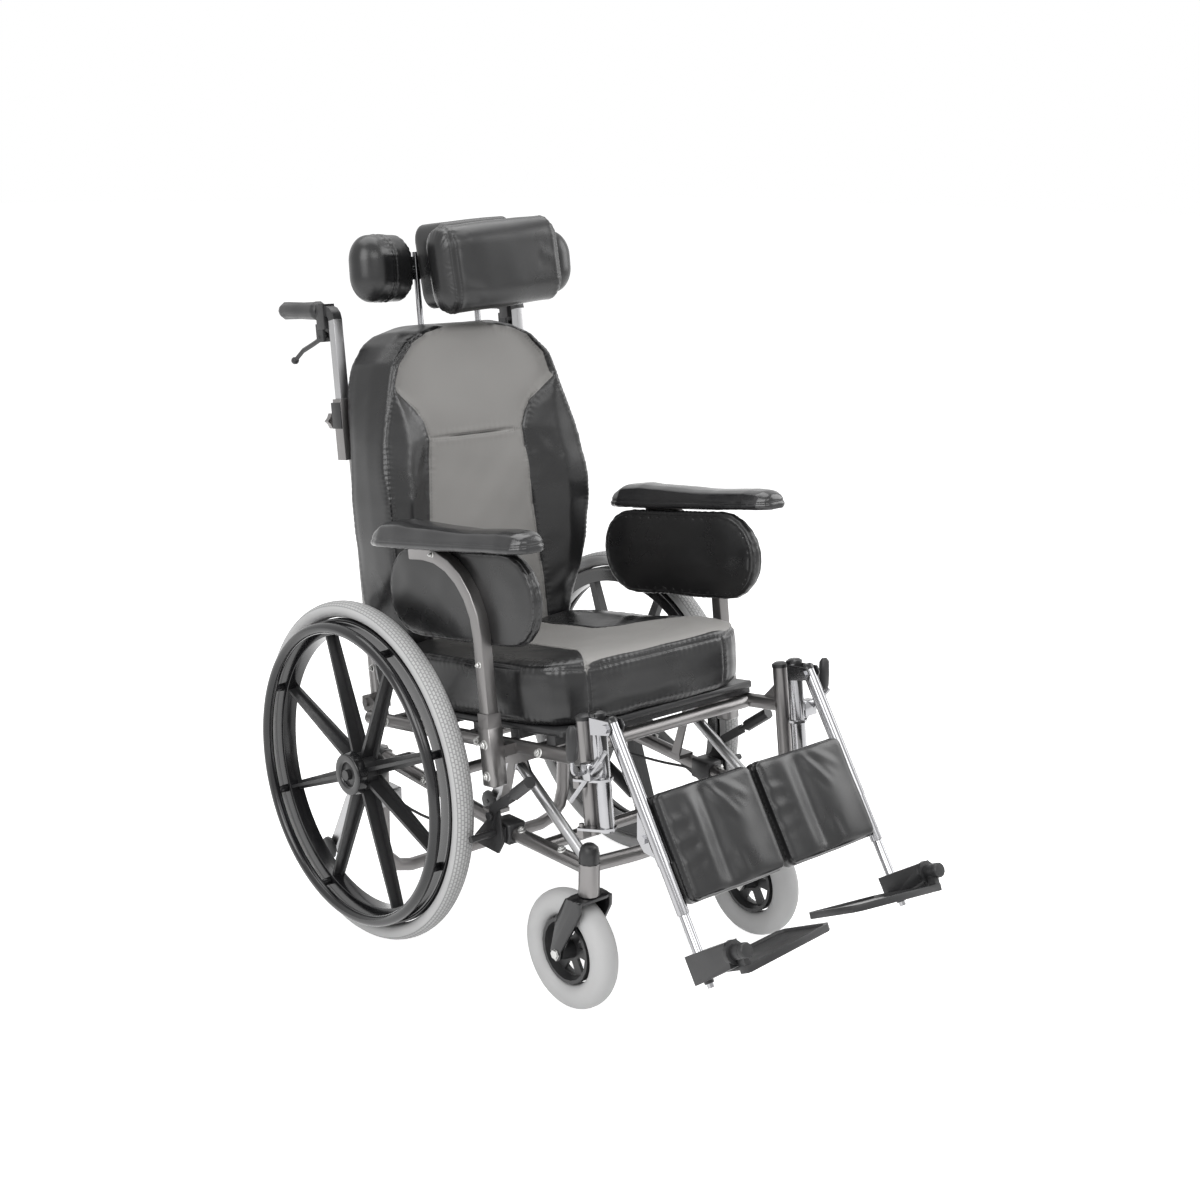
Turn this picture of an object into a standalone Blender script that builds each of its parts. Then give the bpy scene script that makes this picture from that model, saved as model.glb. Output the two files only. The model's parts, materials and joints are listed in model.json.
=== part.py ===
"""Reclining tilt wheelchair with elevating legrests, headrest and attendant handles.

Metres, +Z up. The occupant faces -Y, and the occupant's left is +X. The origin lies on the floor under the
middle of the chair. Inside the "chair" empty, y = 0 is the rear axle. Each moving assembly hangs from an
empty on its joint: the seat unit from tilt_axis, the backrest from back_axis, each legrest from its swing
pin.
"""

from math import atan2, cos, degrees, pi, radians, sin, tan

import bmesh
import bpy
from mathutils import Matrix, Vector

# Driving dimensions of the rolling base
AXLE_BEHIND_ORIGIN = 0.2350
REAR_WHEEL_RADIUS = 0.300
REAR_TYRE_WIDTH = 0.038
WHEEL_SIDES = 32
REAR_WHEEL_X = 0.308
RIM_DEPTH = 0.026
RIM_WIDTH = 0.026
SPOKE_COUNT = 8
HUB_RADIUS = 0.034
HUB_WIDTH = 0.062
HANDRIM_INSET = 0.042
HANDRIM_RADIUS = REAR_WHEEL_RADIUS - HANDRIM_INSET
HANDRIM_TUBE = 0.0095
HANDRIM_STANDOFF = 0.0365
AXLE_RADIUS = 0.0063

CASTER_RADIUS = 0.100
CASTER_TYRE_WIDTH = 0.046
CASTER_TYRE_DEPTH = 0.044
CASTER_BED = CASTER_RADIUS - CASTER_TYRE_DEPTH
CASTER_SIDES = 20
CASTER_WINDOWS = 6
CASTER_X = 0.212
CASTER_STEM_Y = -0.487
CASTER_TRAIL = 0.040
CASTER_HOUSING_TOP = 0.262
CASTER_HOUSING_BOTTOM = 0.208
CASTER_HOUSING_RADIUS = 0.0175
STEM_RADIUS = 0.006

FRAME_TUBE = 0.0127
BASE_RAIL_X = 0.228
BASE_RAIL_REAR = (0.050, REAR_WHEEL_RADIUS - 0.007)
BASE_RAIL_FRONT_Z = 0.252
TIPPING_TUBE_Y = 0.080
TIPPING_TUBE_X = 0.216
TIPPING_TUBE_LOW = 0.056
TIPPING_TUBE_BEND = 0.060

STRUT_X = 0.200
AXLE_BUSH = 0.017
MIDDLE_TUBE_Y = -0.385
REAR_TUBE_Y = -0.070
BRAKE_PIVOT_Y = -0.308
BRAKE_PIVOT_Z = REAR_WHEEL_RADIUS
BRAKE_PLATE_X = 0.262
ANTI_TIP_X = 0.196
ANTI_TIP_AXLE_Y = 0.276
ANTI_TIP_AXLE_Z = 0.040
ANTI_TIP_WHEEL_RADIUS = 0.022

# Driving dimensions of the seat unit
TILT_AXIS_Y = -0.288
TILT_AXIS_Z = 0.392
SEAT_TILT = 8.0
SEAT_RAIL_Z = 0.015
SEAT_RAIL_FRONT = -0.195
SEAT_RAIL_REAR = 0.398
SEAT_HALF_WIDTH = 0.226
SEAT_RAIL_X = SEAT_HALF_WIDTH - 0.006
SEAT_FRONT = -0.152
SEAT_THICKNESS = 0.106
SEAT_CORNER = 0.090
SEAT_CORNER_WIDTH = 0.096
SEAT_HOLLOW = 0.010
SEAM_DEPTH = 0.0032
SEAT_BOARD_THICKNESS = 0.012
SEAT_RIB_HEIGHT = 0.012

BACK_HINGE_Y = 0.4145
BACK_HINGE_Z = 0.0395
BACK_LEAN = 1.0
CANE_X = SEAT_HALF_WIDTH - 0.043
HANDLE_X = SEAT_HALF_WIDTH - 0.020
HANDLE_SOCKET = 0.108
CANE_SIZE = 0.0254
CANE_TOP = 0.550
BACK_BOTTOM = 0.030
BACK_TOP = 0.667
BACK_THICKNESS = 0.112
BACK_HALF_WIDTH = SEAT_HALF_WIDTH + 0.003
HANDLE_TUBE = 0.018
HANDLE_TOP = 0.703
HANDLE_INSERT = 0.100
GRIP_RADIUS = 0.0165
GRIP_LENGTH = 0.125
LEVER_PIVOT_Y = 0.040
LEVER_PIVOT_DROP = -0.043

HEADREST_POST_X = 0.0645
HEADREST_POST_Y = -0.051
HEADREST_POST_RADIUS = 0.0055
HEADREST_OFFSET = 0.005
HEAD_PLATE_OFFSET = 0.013
HEADREST_MIDDLE = 0.770
PILLOW_WIDTH = 0.262
PILLOW_HEIGHT = 0.150
PILLOW_THICKNESS = 0.084
PILLOW_ROLL = 4.0
WING_WIDTH = 0.134
WING_HEIGHT = 0.116
WING_THICKNESS = 0.072
WING_OFFSET = 0.011
WING_FORWARD = 18.0
WING_HINGE_X = 0.104
WING_HINGE_Y = HEADREST_POST_Y + 0.006
HEADREST_WELL = (0.470, 0.720)

ARM_POST_X = SEAT_HALF_WIDTH + 0.042
ARM_POST_Y = -0.0265
ARM_TUBE = 0.022
ARM_BEND = 0.130
ARM_TUBE_TOP = 0.334
ARM_SOCKET_BOTTOM = -0.040
ARM_SOCKET_TOP = 0.058
ARM_COLLAR_TOP = 0.080
ARMPAD_FRONT = -0.180
ARMPAD_REAR = 0.222
ARMPAD_WIDTH = 0.080
ARMPAD_THICKNESS = 0.043
SIDE_PAD_FRONT = -0.153
SIDE_PAD_REAR = 0.242
SIDE_PAD_BOTTOM = 0.186
SIDE_PAD_THICKNESS = 0.030

SEAT_REAR = BACK_HINGE_Y - CANE_SIZE / 2 - BACK_THICKNESS - 0.004
SEAT_CROSS_TUBES = (-0.130, 0.105, 0.330)
CROSS_TUBE_Z = SEAT_RAIL_Z - 0.001

# Gas springs: a (y, z) pin is in the chair's frame at the base, and in the seat's frame at the seat
TILT_SPRING_LOW = (-0.372, 0.283)
TILT_SPRING_HIGH = (0.105, -0.012)
SPRING_TUBE = 0.0105
SPRING_ROD = 0.0045
SPRING_PIN = 0.004
SPRING_SLACK = 0.0025
SPRING_EYE_HALF = 0.006
SPRING_STROKE = 0.050
RECLINE_SPRING_X = 0.060
RECLINE_LEVER = 0.058
RECLINE_LEVER_ANGLE = 25.0
RECLINE_TUBE_END = 0.290
RECLINE_SPRING_Z = BACK_HINGE_Z - RECLINE_LEVER * (1 + cos(radians(RECLINE_LEVER_ANGLE))) / 2

# Driving dimensions of the legrests
POST_Y = -0.207
POST_X = SEAT_HALF_WIDTH - 0.004
POST_TOP = 0.082
POST_BOTTOM = -0.102
SWING_PIN_X = POST_X + 0.022
SWING_TUBE_Y = -0.2406
SWING_TUBE_TOP = 0.092
SWING_PLATE_HEIGHTS = (-0.012, -0.090)
SWING_PLATE = 0.004
RELEASE_Y = SWING_TUBE_Y - POST_Y - 0.004
RELEASE_Z = 0.010
LOCK_ROD_X = 0.0095
LEG_X = POST_X
LEG_TUBE_RADIUS = 0.011
LEG_SLEEVE_RADIUS = 0.0098
LEG_INNER_RADIUS = 0.0078
LEG_PIVOT_Y = -0.274
LEG_PIVOT_Z = 0.076
LEG_ANGLE = 25.0
LEG_UPPER_LENGTH = 0.220
LEG_SLEEVE_LENGTH = 0.298
LEG_INSERT = 0.120
LEG_INNER_END = 0.404
FOOT_HINGE_Y = -0.0745
FOOT_HINGE_Z = -0.3725
FOOT_LEVEL = 26.0
FOOTPLATE_DEPTH = 0.115
FOOTPLATE_LENGTH = 0.191
FOOTPLATE_THICKNESS = 0.011
FOOTPLATE_DROP = 0.021
FOOTPLATE_LIFT = {"left": 5.5, "right": 3.0}
FOOT_PIN_RADIUS = 0.0085
FOOT_BARREL_RADIUS = 0.0122
CALF_PAD_TOP = -0.116
CALF_PAD_HEIGHT = 0.172
CALF_PAD_THICKNESS = 0.044
CALF_PIVOT_Y = 0.036
CALF_PIVOT_Z = CALF_PAD_TOP - 0.057
CALF_EAR_X = -0.0165
CALF_PROFILE = ((-1.0, 0.006), (-0.92, 0.001), (-0.62, 0.0), (-0.42, -0.005), (-0.20, 0.003), (0.0, 0.007),
                (0.20, 0.004), (0.44, -0.004), (0.64, 0.0), (0.92, 0.001), (1.0, 0.006))

# Named clearances
TOUCH = 0.0003
RUNNING = 0.0003
MIDLINE_GAP = 0.0055

SIDES = (("left", 1.0), ("right", -1.0))

FINISHES = {
    "gunmetal": ((0.16, 0.155, 0.15), 0.35, 0.9),
    "chrome": ((0.75, 0.75, 0.76), 0.12, 1.0),
    "black_plastic": ((0.020, 0.020, 0.022), 0.45, 0.0),
    "gloss_black": ((0.012, 0.012, 0.014), 0.15, 0.0),
    "black_leather": ((0.018, 0.018, 0.019), 0.38, 0.0),
    "grey_tyre": ((0.46, 0.46, 0.47), 0.75, 0.0),
    "black_rubber": ((0.025, 0.025, 0.025), 0.80, 0.0),
}


# Scene helpers
def clear_scene():
    for existing in list(bpy.data.objects):
        bpy.data.objects.remove(existing, do_unlink=True)


def material(finish):
    """The finish's Principled material, made once for each object that asks."""
    colour, roughness, metallic = FINISHES[finish]
    made = bpy.data.materials.new(finish)
    made.use_nodes = True
    shader = made.node_tree.nodes["Principled BSDF"]
    shader.inputs["Base Color"].default_value = (*colour, 1.0)
    shader.inputs["Roughness"].default_value = roughness
    shader.inputs["Metallic"].default_value = metallic
    return made


def axis_empty(name, parent, location, tilt=0.0):
    """An empty on a joint's axis. tilt turns it about X, in degrees, with the front rising."""
    empty = bpy.data.objects.new(name, None)
    empty.empty_display_size = 0.05
    empty.location = location
    empty.rotation_euler = (radians(-tilt), 0.0, 0.0)
    empty.parent = parent
    bpy.context.collection.objects.link(empty)
    return empty


def node(name, shape, finish, parent):
    """A named piece made from a closed shape that is drawn in its parent's frame."""
    mesh = bpy.data.meshes.new(name)
    shape.to_mesh(mesh)
    shape.free()
    mesh.shade_smooth()
    mesh.set_sharp_from_angle(angle=radians(40.0))
    piece = bpy.data.objects.new(name, mesh)
    piece.data.materials.append(material(finish))
    piece.parent = parent
    bpy.context.collection.objects.link(piece)
    return piece


# Shape helpers: each returns a bmesh that is one closed body
def outward(shape):
    bmesh.ops.recalc_face_normals(shape, faces=shape.faces[:])
    return shape


def moved(shape, offset=(0.0, 0.0, 0.0), turn=None):
    """The shape turned by an optional (degrees, axis) pair and then shifted."""
    change = Matrix.Translation(Vector(offset))
    if turn is not None:
        change = change @ Matrix.Rotation(radians(turn[0]), 4, turn[1])
    shape.transform(change)
    return shape


def sided(shape, side):
    """The shape as drawn for the left, or its mirror image for the right."""
    if side < 0.0:
        shape.transform(Matrix.Diagonal((-1.0, 1.0, 1.0, 1.0)))
        bmesh.ops.reverse_faces(shape, faces=shape.faces[:])
    return shape


def copied(shape):
    return shape.copy()


def helper_object(shape):
    mesh = bpy.data.meshes.new("helper")
    shape.to_mesh(mesh)
    shape.free()
    helper = bpy.data.objects.new("helper", mesh)
    bpy.context.collection.objects.link(helper)
    return helper


def combined(operation, shape, others):
    """The shape after one exact Boolean with each of the others in turn."""
    base = helper_object(shape)
    tools = [helper_object(other) for other in others]
    for tool in tools:
        step = base.modifiers.new("combine", "BOOLEAN")
        step.operation = operation
        step.solver = "EXACT"
        step.object = tool
    bpy.context.view_layer.update()
    result = bmesh.new()
    result.from_object(base, bpy.context.evaluated_depsgraph_get())
    for used in [base, *tools]:
        mesh = used.data
        bpy.data.objects.remove(used, do_unlink=True)
        bpy.data.meshes.remove(mesh)
    bmesh.ops.remove_doubles(result, verts=result.verts[:], dist=0.00001)
    bmesh.ops.dissolve_degenerate(result, edges=result.edges[:], dist=0.00001)
    return result


def welded(shape, *others):
    return combined("UNION", shape, others)


def cut(shape, *others):
    return combined("DIFFERENCE", shape, others)


def skinned(rings, closed=False):
    """A body through rings of equal point count, with flat ends unless it closes on itself."""
    shape = bmesh.new()
    loops = [[shape.verts.new(point) for point in ring] for ring in rings]
    pairs = list(zip(loops, loops[1:]))
    if closed:
        pairs.append((loops[-1], loops[0]))
    for low, high in pairs:
        count = len(low)
        for index in range(count):
            following = (index + 1) % count
            shape.faces.new((low[index], low[following], high[following], high[index]))
    if not closed:
        shape.faces.new(list(reversed(loops[0])))
        shape.faces.new(loops[-1])
    return outward(shape)


def circle(radius, sides=8):
    return [(radius * cos(2 * pi * i / sides), radius * sin(2 * pi * i / sides)) for i in range(sides)]


def rectangle(width, height, corner=0.0, steps=2):
    """A rectangle's outline, with round corners where corner is more than 0."""
    if corner <= 0.0:
        return [(width / 2, height / 2), (-width / 2, height / 2), (-width / 2, -height / 2),
                (width / 2, -height / 2)]
    centres = ((1, 1, 0), (-1, 1, 90), (-1, -1, 180), (1, -1, 270))
    points = []
    for right, up, start in centres:
        for step in range(steps + 1):
            angle = radians(start + 90.0 * step / steps)
            x = right * (width / 2 - corner) + corner * cos(angle)
            y = up * (height / 2 - corner) + corner * sin(angle)
            points.append((x, y))
    return points


def filleted(points, radius, steps=4):
    """A polyline with each inner corner rounded by an arc of the given radius."""
    corners = [Vector(point) for point in points]
    path = [corners[0]]
    for before, corner, after in zip(corners, corners[1:], corners[2:]):
        arriving = (corner - before).normalized()
        leaving = (after - corner).normalized()
        bend = arriving.angle(leaving)
        if bend < 0.01:
            continue
        reach = radius * tan(bend / 2)
        start = corner - arriving * reach
        inward = (leaving - arriving * leaving.dot(arriving)).normalized()
        centre = start + inward * radius
        axis = arriving.cross(leaving).normalized()
        for step in range(steps + 1):
            turn = Matrix.Rotation(bend * step / steps, 3, axis)
            path.append(centre + turn @ (start - centre))
    path.append(corners[-1])
    return path


def swept(path, section, up=(0.0, 0.0, 1.0)):
    """A section carried along a path. Its first axis stays near square to up, its second along up."""
    points = [Vector(point) for point in path]
    rings = []
    upward = Vector(up)
    for index, point in enumerate(points):
        before = points[max(index - 1, 0)]
        after = points[min(index + 1, len(points) - 1)]
        ahead = (after - before).normalized()
        if 0 < index < len(points) - 1:
            ahead = ((point - before).normalized() + (after - point).normalized()).normalized()
        across = ahead.cross(upward)
        if across.length < 0.05:
            across = ahead.cross(Vector((0.0, 1.0, 0.0)))
        across.normalize()
        high = across.cross(ahead).normalized()
        rings.append([point + across * u + high * v for u, v in section])
    return skinned(rings)


def sides_for(radius):
    """Thin pins get six sides, tubes eight, thick barrels twelve."""
    return 6 if radius < 0.0039 else 8 if radius < 0.0195 else 12


def tube(path, radius, sides=None, up=(1.0, 0.0, 0.0)):
    return swept(path, circle(radius, sides or sides_for(radius)), up)


def rod_x(radius, x_from, x_to, y, z, sides=None):
    return tube([(x_from, y, z), (x_to, y, z)], radius, sides, up=(0.0, 0.0, 1.0))


def rod_y(radius, x, y_from, y_to, z, sides=None):
    return tube([(x, y_from, z), (x, y_to, z)], radius, sides, up=(0.0, 0.0, 1.0))


def rod_z(radius, x, y, z_from, z_to, sides=None):
    return tube([(x, y, z_from), (x, y, z_to)], radius, sides, up=(1.0, 0.0, 0.0))


def bore_radius(radius, clearance):
    """Corner radius of a hole whose flats clear a pin of this radius, with the pin's own number of sides."""
    return (radius + clearance) / cos(pi / sides_for(radius))


def hole_x(radius, x_from, x_to, y, z, clearance=RUNNING):
    return rod_x(bore_radius(radius, clearance), x_from, x_to, y, z, sides_for(radius))


def hole_y(radius, x, y_from, y_to, z, clearance=RUNNING):
    return rod_y(bore_radius(radius, clearance), x, y_from, y_to, z, sides_for(radius))


def hole_z(radius, x, y, z_from, z_to, clearance=RUNNING):
    return rod_z(bore_radius(radius, clearance), x, y, z_from, z_to, sides_for(radius))


def slip_radius(radius):
    """Corner radius of a hole in which a tube with the same facets is clamped or slides without turning."""
    return radius + TOUCH / cos(pi / sides_for(radius))


def slip_x(radius, x_from, x_to, y, z):
    return rod_x(slip_radius(radius), x_from, x_to, y, z, sides_for(radius))


def slip_y(radius, x, y_from, y_to, z):
    return rod_y(slip_radius(radius), x, y_from, y_to, z, sides_for(radius))


def slip_z(radius, x, y, z_from, z_to):
    return rod_z(slip_radius(radius), x, y, z_from, z_to, sides_for(radius))


def block(low, high, bevel=0.0):
    """A box between two corners, with bevelled edges where bevel is more than 0."""
    shape = bmesh.new()
    bmesh.ops.create_cube(shape, size=1.0)
    size = Vector(high) - Vector(low)
    shape.transform(Matrix.Translation((Vector(high) + Vector(low)) / 2) @ Matrix.Diagonal((*size, 1.0)))
    if bevel > 0.0:
        bmesh.ops.bevel(shape, geom=shape.edges[:], offset=bevel, segments=1, affect="EDGES", profile=0.5)
    return outward(shape)


def plate_yz(outline, x_from, x_to):
    """A flat plate square to X, from its (y, z) outline."""
    return skinned([[(x, y, z) for y, z in outline] for x in (x_from, x_to)])


def plate_xy(outline, z_from, z_to):
    """A flat plate square to Z, from its (x, y) outline."""
    return skinned([[(x, y, z) for x, y in outline] for z in (z_from, z_to)])


def turned_x(profile, sides, centre):
    """A ring or a disc about an X axis. The profile lists (x, radius) points round its section."""
    cx, cy, cz = centre
    rings = []
    for index in range(sides):
        angle = 2 * pi * index / sides
        rings.append([(cx + x, cy + radius * cos(angle), cz + radius * sin(angle)) for x, radius in profile])
    return skinned(rings, closed=True)


def stacked_x(profile, sides, centre):
    """A solid turned part about an X axis, from (x, radius) stations."""
    cx, cy, cz = centre
    return skinned([[(cx + x, cy + u, cz + v) for u, v in circle(radius, sides)] for x, radius in profile])


def stacked_z(profile, sides, centre):
    """A solid turned part about a Z axis, from (z, radius) stations."""
    cx, cy, cz = centre
    return skinned([[(cx + u, cy + v, cz + z) for u, v in circle(radius, sides)] for z, radius in profile])


def tangent_outline(first, first_radius, second, second_radius, steps=4):
    """The outline round two circles, like a link plate's."""
    start, end = Vector(first), Vector(second)
    heading = (end - start).to_2d()
    facing = Vector((1.0, 0.0)).angle_signed(heading, 0.0)
    spread = pi / 2
    points = []
    for centre, radius, base in ((end, second_radius, -facing), (start, first_radius, pi - facing)):
        for step in range(steps + 1):
            angle = base - spread + 2 * spread * step / steps
            points.append((centre[0] + radius * cos(angle), centre[1] + radius * sin(angle)))
    return points


def pad(width, height, thickness, corner, edge, crown_front, crown_back, corner_steps=3, seam=0.0):
    """A cushion drawn flat: width along X, height along Y, thickness along Z, front face up.

    Its border rolls over by the edge radius, and each face rises to a crown towards its middle. A seam
    greater than 0 is the depth of the sewn groove round the front face.
    """
    half = thickness / 2
    levels = []
    for angle in (-90, -45, 0, 45, 90):
        roll = radians(angle)
        inset = edge * (1 - cos(roll))
        way = 1 if angle > 0 else -1 if angle < 0 else 0
        levels.append((inset, (half - edge) * way + edge * sin(roll)))
    reach = min(width, height) / 2 - edge
    faces = ((-1, crown_back), (1, crown_front))
    inner = {}
    for way, crown in faces:
        steps = (0.35, 0.75) if crown > 0.0 else (0.5,)
        inner[way] = [(edge + reach * share, way * (half + crown * sin(share * pi / 2))) for share in steps]
    if seam > 0.0:
        inner[1] = [(edge + 0.0022, half - seam), (edge + 0.0050, half + 0.0006), *inner[1]]
    order = list(reversed(inner[-1])) + levels + inner[1]
    rings = []
    for inset, z in order:
        radius = max(corner - inset, 0.004)
        outline = rectangle(width - 2 * inset, height - 2 * inset, radius, corner_steps)
        rings.append([(x, y, z) for x, y in outline])
    return skinned(rings)


def quilted(face, loops):
    """A closed cushion: a grid of points for its face, then rings along the grid's border to the back."""
    shape = bmesh.new()
    grid = [[shape.verts.new(point) for point in row] for row in face]
    last_row, last_column = len(face) - 1, len(face[0]) - 1
    for i in range(last_row):
        for j in range(last_column):
            shape.faces.new((grid[i][j], grid[i][j + 1], grid[i + 1][j + 1], grid[i + 1][j]))
    before = [grid[i][j] for i, j in border(last_row, last_column)]
    for loop in loops:
        ring = [shape.verts.new(point) for point in loop]
        for k, vert in enumerate(ring):
            following = (k + 1) % len(ring)
            shape.faces.new((before[k], vert, ring[following], before[following]))
        before = ring
    shape.faces.new(before)
    return outward(shape)


def border(last_row, last_column):
    """Row and column of each point on a grid's border, in order round it."""
    path = [(0, j) for j in range(last_column)]
    path += [(i, last_column) for i in range(last_row)]
    path += [(last_row, j) for j in range(last_column, 0, -1)]
    path += [(i, 0) for i in range(last_row, 0, -1)]
    return path


def between(value, table):
    """The value's entry in a table of (value, entry) pairs, read straight between its rows."""
    if value <= table[0][0]:
        return table[0][1]
    for (low, first), (high, second) in zip(table, table[1:]):
        if value <= high:
            return first + (second - first) * (value - low) / (high - low)
    return table[-1][1]


def warped(shape, change):
    """The shape with every point moved by a rule."""
    for vert in shape.verts:
        vert.co = change(vert.co)
    return shape


def upright(shape):
    """A pad drawn flat, stood up so that its front face looks along -Y and its height along +Z."""
    shape.transform(Matrix.Rotation(radians(90.0), 4, "X"))
    return shape


# Rolling base
def base_rail_z(y):
    """Height of the lower side tube's axis at a distance y ahead of the axle."""
    rear_y, rear_z = BASE_RAIL_REAR
    share = (rear_y - y) / (rear_y - CASTER_STEM_Y)
    return rear_z + (BASE_RAIL_FRONT_Z - rear_z) * share


def side_of_base():
    """Lower side tube with its caster housing, axle bush, tipping tube lug and tilt stand."""
    rear_y, rear_z = BASE_RAIL_REAR
    front = (CASTER_X, CASTER_STEM_Y, BASE_RAIL_FRONT_Z)
    rail = tube([(BASE_RAIL_X, rear_y, rear_z), (BASE_RAIL_X, -0.340, base_rail_z(-0.340)), front],
                FRAME_TUBE)
    housing = rod_z(CASTER_HOUSING_RADIUS, CASTER_X, CASTER_STEM_Y, CASTER_HOUSING_BOTTOM,
                    CASTER_HOUSING_TOP, 10)
    cap_radius = CASTER_HOUSING_RADIUS - 0.001
    dome = ((-0.004, cap_radius), (0.016, cap_radius), (0.026, cap_radius * 0.86), (0.031, cap_radius * 0.5))
    cap = stacked_z(dome, 10, (CASTER_X, CASTER_STEM_Y, CASTER_HOUSING_TOP))
    end_cap = rod_y(FRAME_TUBE + 0.0008, BASE_RAIL_X, rear_y - 0.002, rear_y + 0.010, rear_z)
    bore_top = CASTER_HOUSING_BOTTOM + 0.035
    bore = hole_z(STEM_RADIUS, CASTER_X, CASTER_STEM_Y, CASTER_HOUSING_BOTTOM - 0.01, bore_top)
    bush = rod_x(0.013, BASE_RAIL_X - AXLE_BUSH, BASE_RAIL_X + AXLE_BUSH, 0.0, REAR_WHEEL_RADIUS)
    axle_hole = slip_x(AXLE_RADIUS, BASE_RAIL_X - 0.03, BASE_RAIL_X + 0.03, 0.0, REAR_WHEEL_RADIUS)
    lug = block((TIPPING_TUBE_X - 0.006, rear_y + 0.004, rear_z - 0.008),
                (TIPPING_TUBE_X + 0.010, TIPPING_TUBE_Y, rear_z + 0.008))
    shapes = [rail, housing, cap, end_cap, bush, lug, *tilt_stand()]
    return cut(welded(*shapes), bore, axle_hole)


def tilt_stand():
    """Sloping strut, pivot plate, upright link and pivot bolt that carry one side of the seat unit."""
    pivot_y, pivot_z = TILT_AXIS_Y, TILT_AXIS_Z
    top = (STRUT_X, pivot_y - 0.012, pivot_z - 0.022)
    strut = tube([top, (CASTER_X - 0.004, CASTER_STEM_Y + 0.010, BASE_RAIL_FRONT_Z + 0.008)], 0.0095, 8)
    plate = plate_yz(
        [(pivot_y + 0.013, pivot_z + 0.012), (pivot_y - 0.016, pivot_z + 0.012),
         (pivot_y - 0.042, pivot_z - 0.034), (pivot_y + 0.010, pivot_z - 0.034)],
        STRUT_X - 0.003, STRUT_X + 0.001,
    )
    bolt = rod_x(0.006, STRUT_X - 0.008, SEAT_RAIL_X + 0.014, pivot_y, pivot_z)
    head = rod_x(0.009, STRUT_X - 0.010, STRUT_X - 0.002, pivot_y, pivot_z, 6)
    link_y = pivot_y + 0.034
    link_low = base_rail_z(link_y) + FRAME_TUBE - 0.004
    link = plate_yz(
        [(pivot_y + 0.014, pivot_z - 0.012), (pivot_y + 0.001, pivot_z - 0.022),
         (link_y - 0.010, link_low), (link_y + 0.010, link_low)],
        STRUT_X - 0.002, STRUT_X + 0.002,
    )
    foot = block((STRUT_X - 0.0025, link_y - 0.014, link_low),
                 (BASE_RAIL_X + 0.004, link_y + 0.014, link_low + 0.007))
    return [strut, plate, bolt, head, link, foot]


def base_frame(chair):
    """The welded rolling base: two side frames, three cross tubes and the rear tipping tube."""
    front_end = CASTER_X - CASTER_HOUSING_RADIUS + 0.004
    front_z = BASE_RAIL_FRONT_Z + 0.004
    front_path = filleted(
        [(-front_end, CASTER_STEM_Y, front_z), (-front_end + 0.075, CASTER_STEM_Y - 0.010, front_z),
         (front_end - 0.075, CASTER_STEM_Y - 0.010, front_z), (front_end, CASTER_STEM_Y, front_z)],
        0.15, 2,
    )
    front = tube(front_path, 0.0125, up=(0.0, 0.0, 1.0))
    inner = BASE_RAIL_X - FRAME_TUBE + 0.003
    middle = rod_x(0.011, -inner, inner, MIDDLE_TUBE_Y, base_rail_z(MIDDLE_TUBE_Y))
    rear = rod_x(0.011, -inner, inner, REAR_TUBE_Y, base_rail_z(REAR_TUBE_Y))
    path = filleted(
        [(-TIPPING_TUBE_X, TIPPING_TUBE_Y, 0.302), (-TIPPING_TUBE_X, TIPPING_TUBE_Y, TIPPING_TUBE_LOW),
         (TIPPING_TUBE_X, TIPPING_TUBE_Y, TIPPING_TUBE_LOW), (TIPPING_TUBE_X, TIPPING_TUBE_Y, 0.302)],
        TIPPING_TUBE_BEND, 3,
    )
    tipping = swept(path, circle(FRAME_TUBE), up=(0.0, 1.0, 0.0))
    left = side_of_base()
    right = sided(copied(left), -1.0)
    clevis = spring_clevis(MIDDLE_TUBE_Y, base_rail_z(MIDDLE_TUBE_Y), TILT_SPRING_LOW)
    return node("base_frame", welded(left, right, front, middle, rear, tipping, *clevis), "gunmetal", chair)


def spring_clevis(tube_y, tube_z, pin_at):
    """Two cheeks from a cross tube to a gas spring's pin."""
    pin_y, pin_z = pin_at
    away = Vector((pin_y - tube_y, pin_z - tube_z)).normalized()
    side = Vector((-away.y, away.x)) * 0.008
    start = Vector((tube_y, tube_z))
    end = Vector((pin_y, pin_z)) + away * 0.007
    outline = [tuple(start + side), tuple(start - side), tuple(end - side * 0.7), tuple(end + side * 0.7)]
    shapes = []
    for way in (1.0, -1.0):
        low, high = sorted((way * SPRING_EYE_HALF, way * (SPRING_EYE_HALF + 0.003)))
        shapes.append(plate_yz(outline, low, high))
    reach = SPRING_EYE_HALF + 0.005
    shapes.append(rod_x(SPRING_PIN, -reach, reach, pin_y, pin_z))
    return shapes


def rear_axle(name, side, chair):
    """Axle pin through the side tube's bush, with its collar, nut and round head."""
    outer = REAR_WHEEL_X + HUB_WIDTH / 2 + 0.008
    inner = BASE_RAIL_X - AXLE_BUSH
    centre = (0.0, REAR_WHEEL_RADIUS)
    pin = rod_x(AXLE_RADIUS, inner - 0.012, outer, *centre)
    nut = rod_x(0.011, inner - 0.010, inner - TOUCH, *centre, sides=6)
    collar_from = BASE_RAIL_X + AXLE_BUSH + TOUCH
    collar = rod_x(0.0105, collar_from, REAR_WHEEL_X - HUB_WIDTH / 2 - RUNNING, *centre)
    head = rod_x(0.010, outer - 0.007, outer, *centre)
    return node(name, sided(welded(pin, nut, collar, head), side), "chrome", chair)


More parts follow.
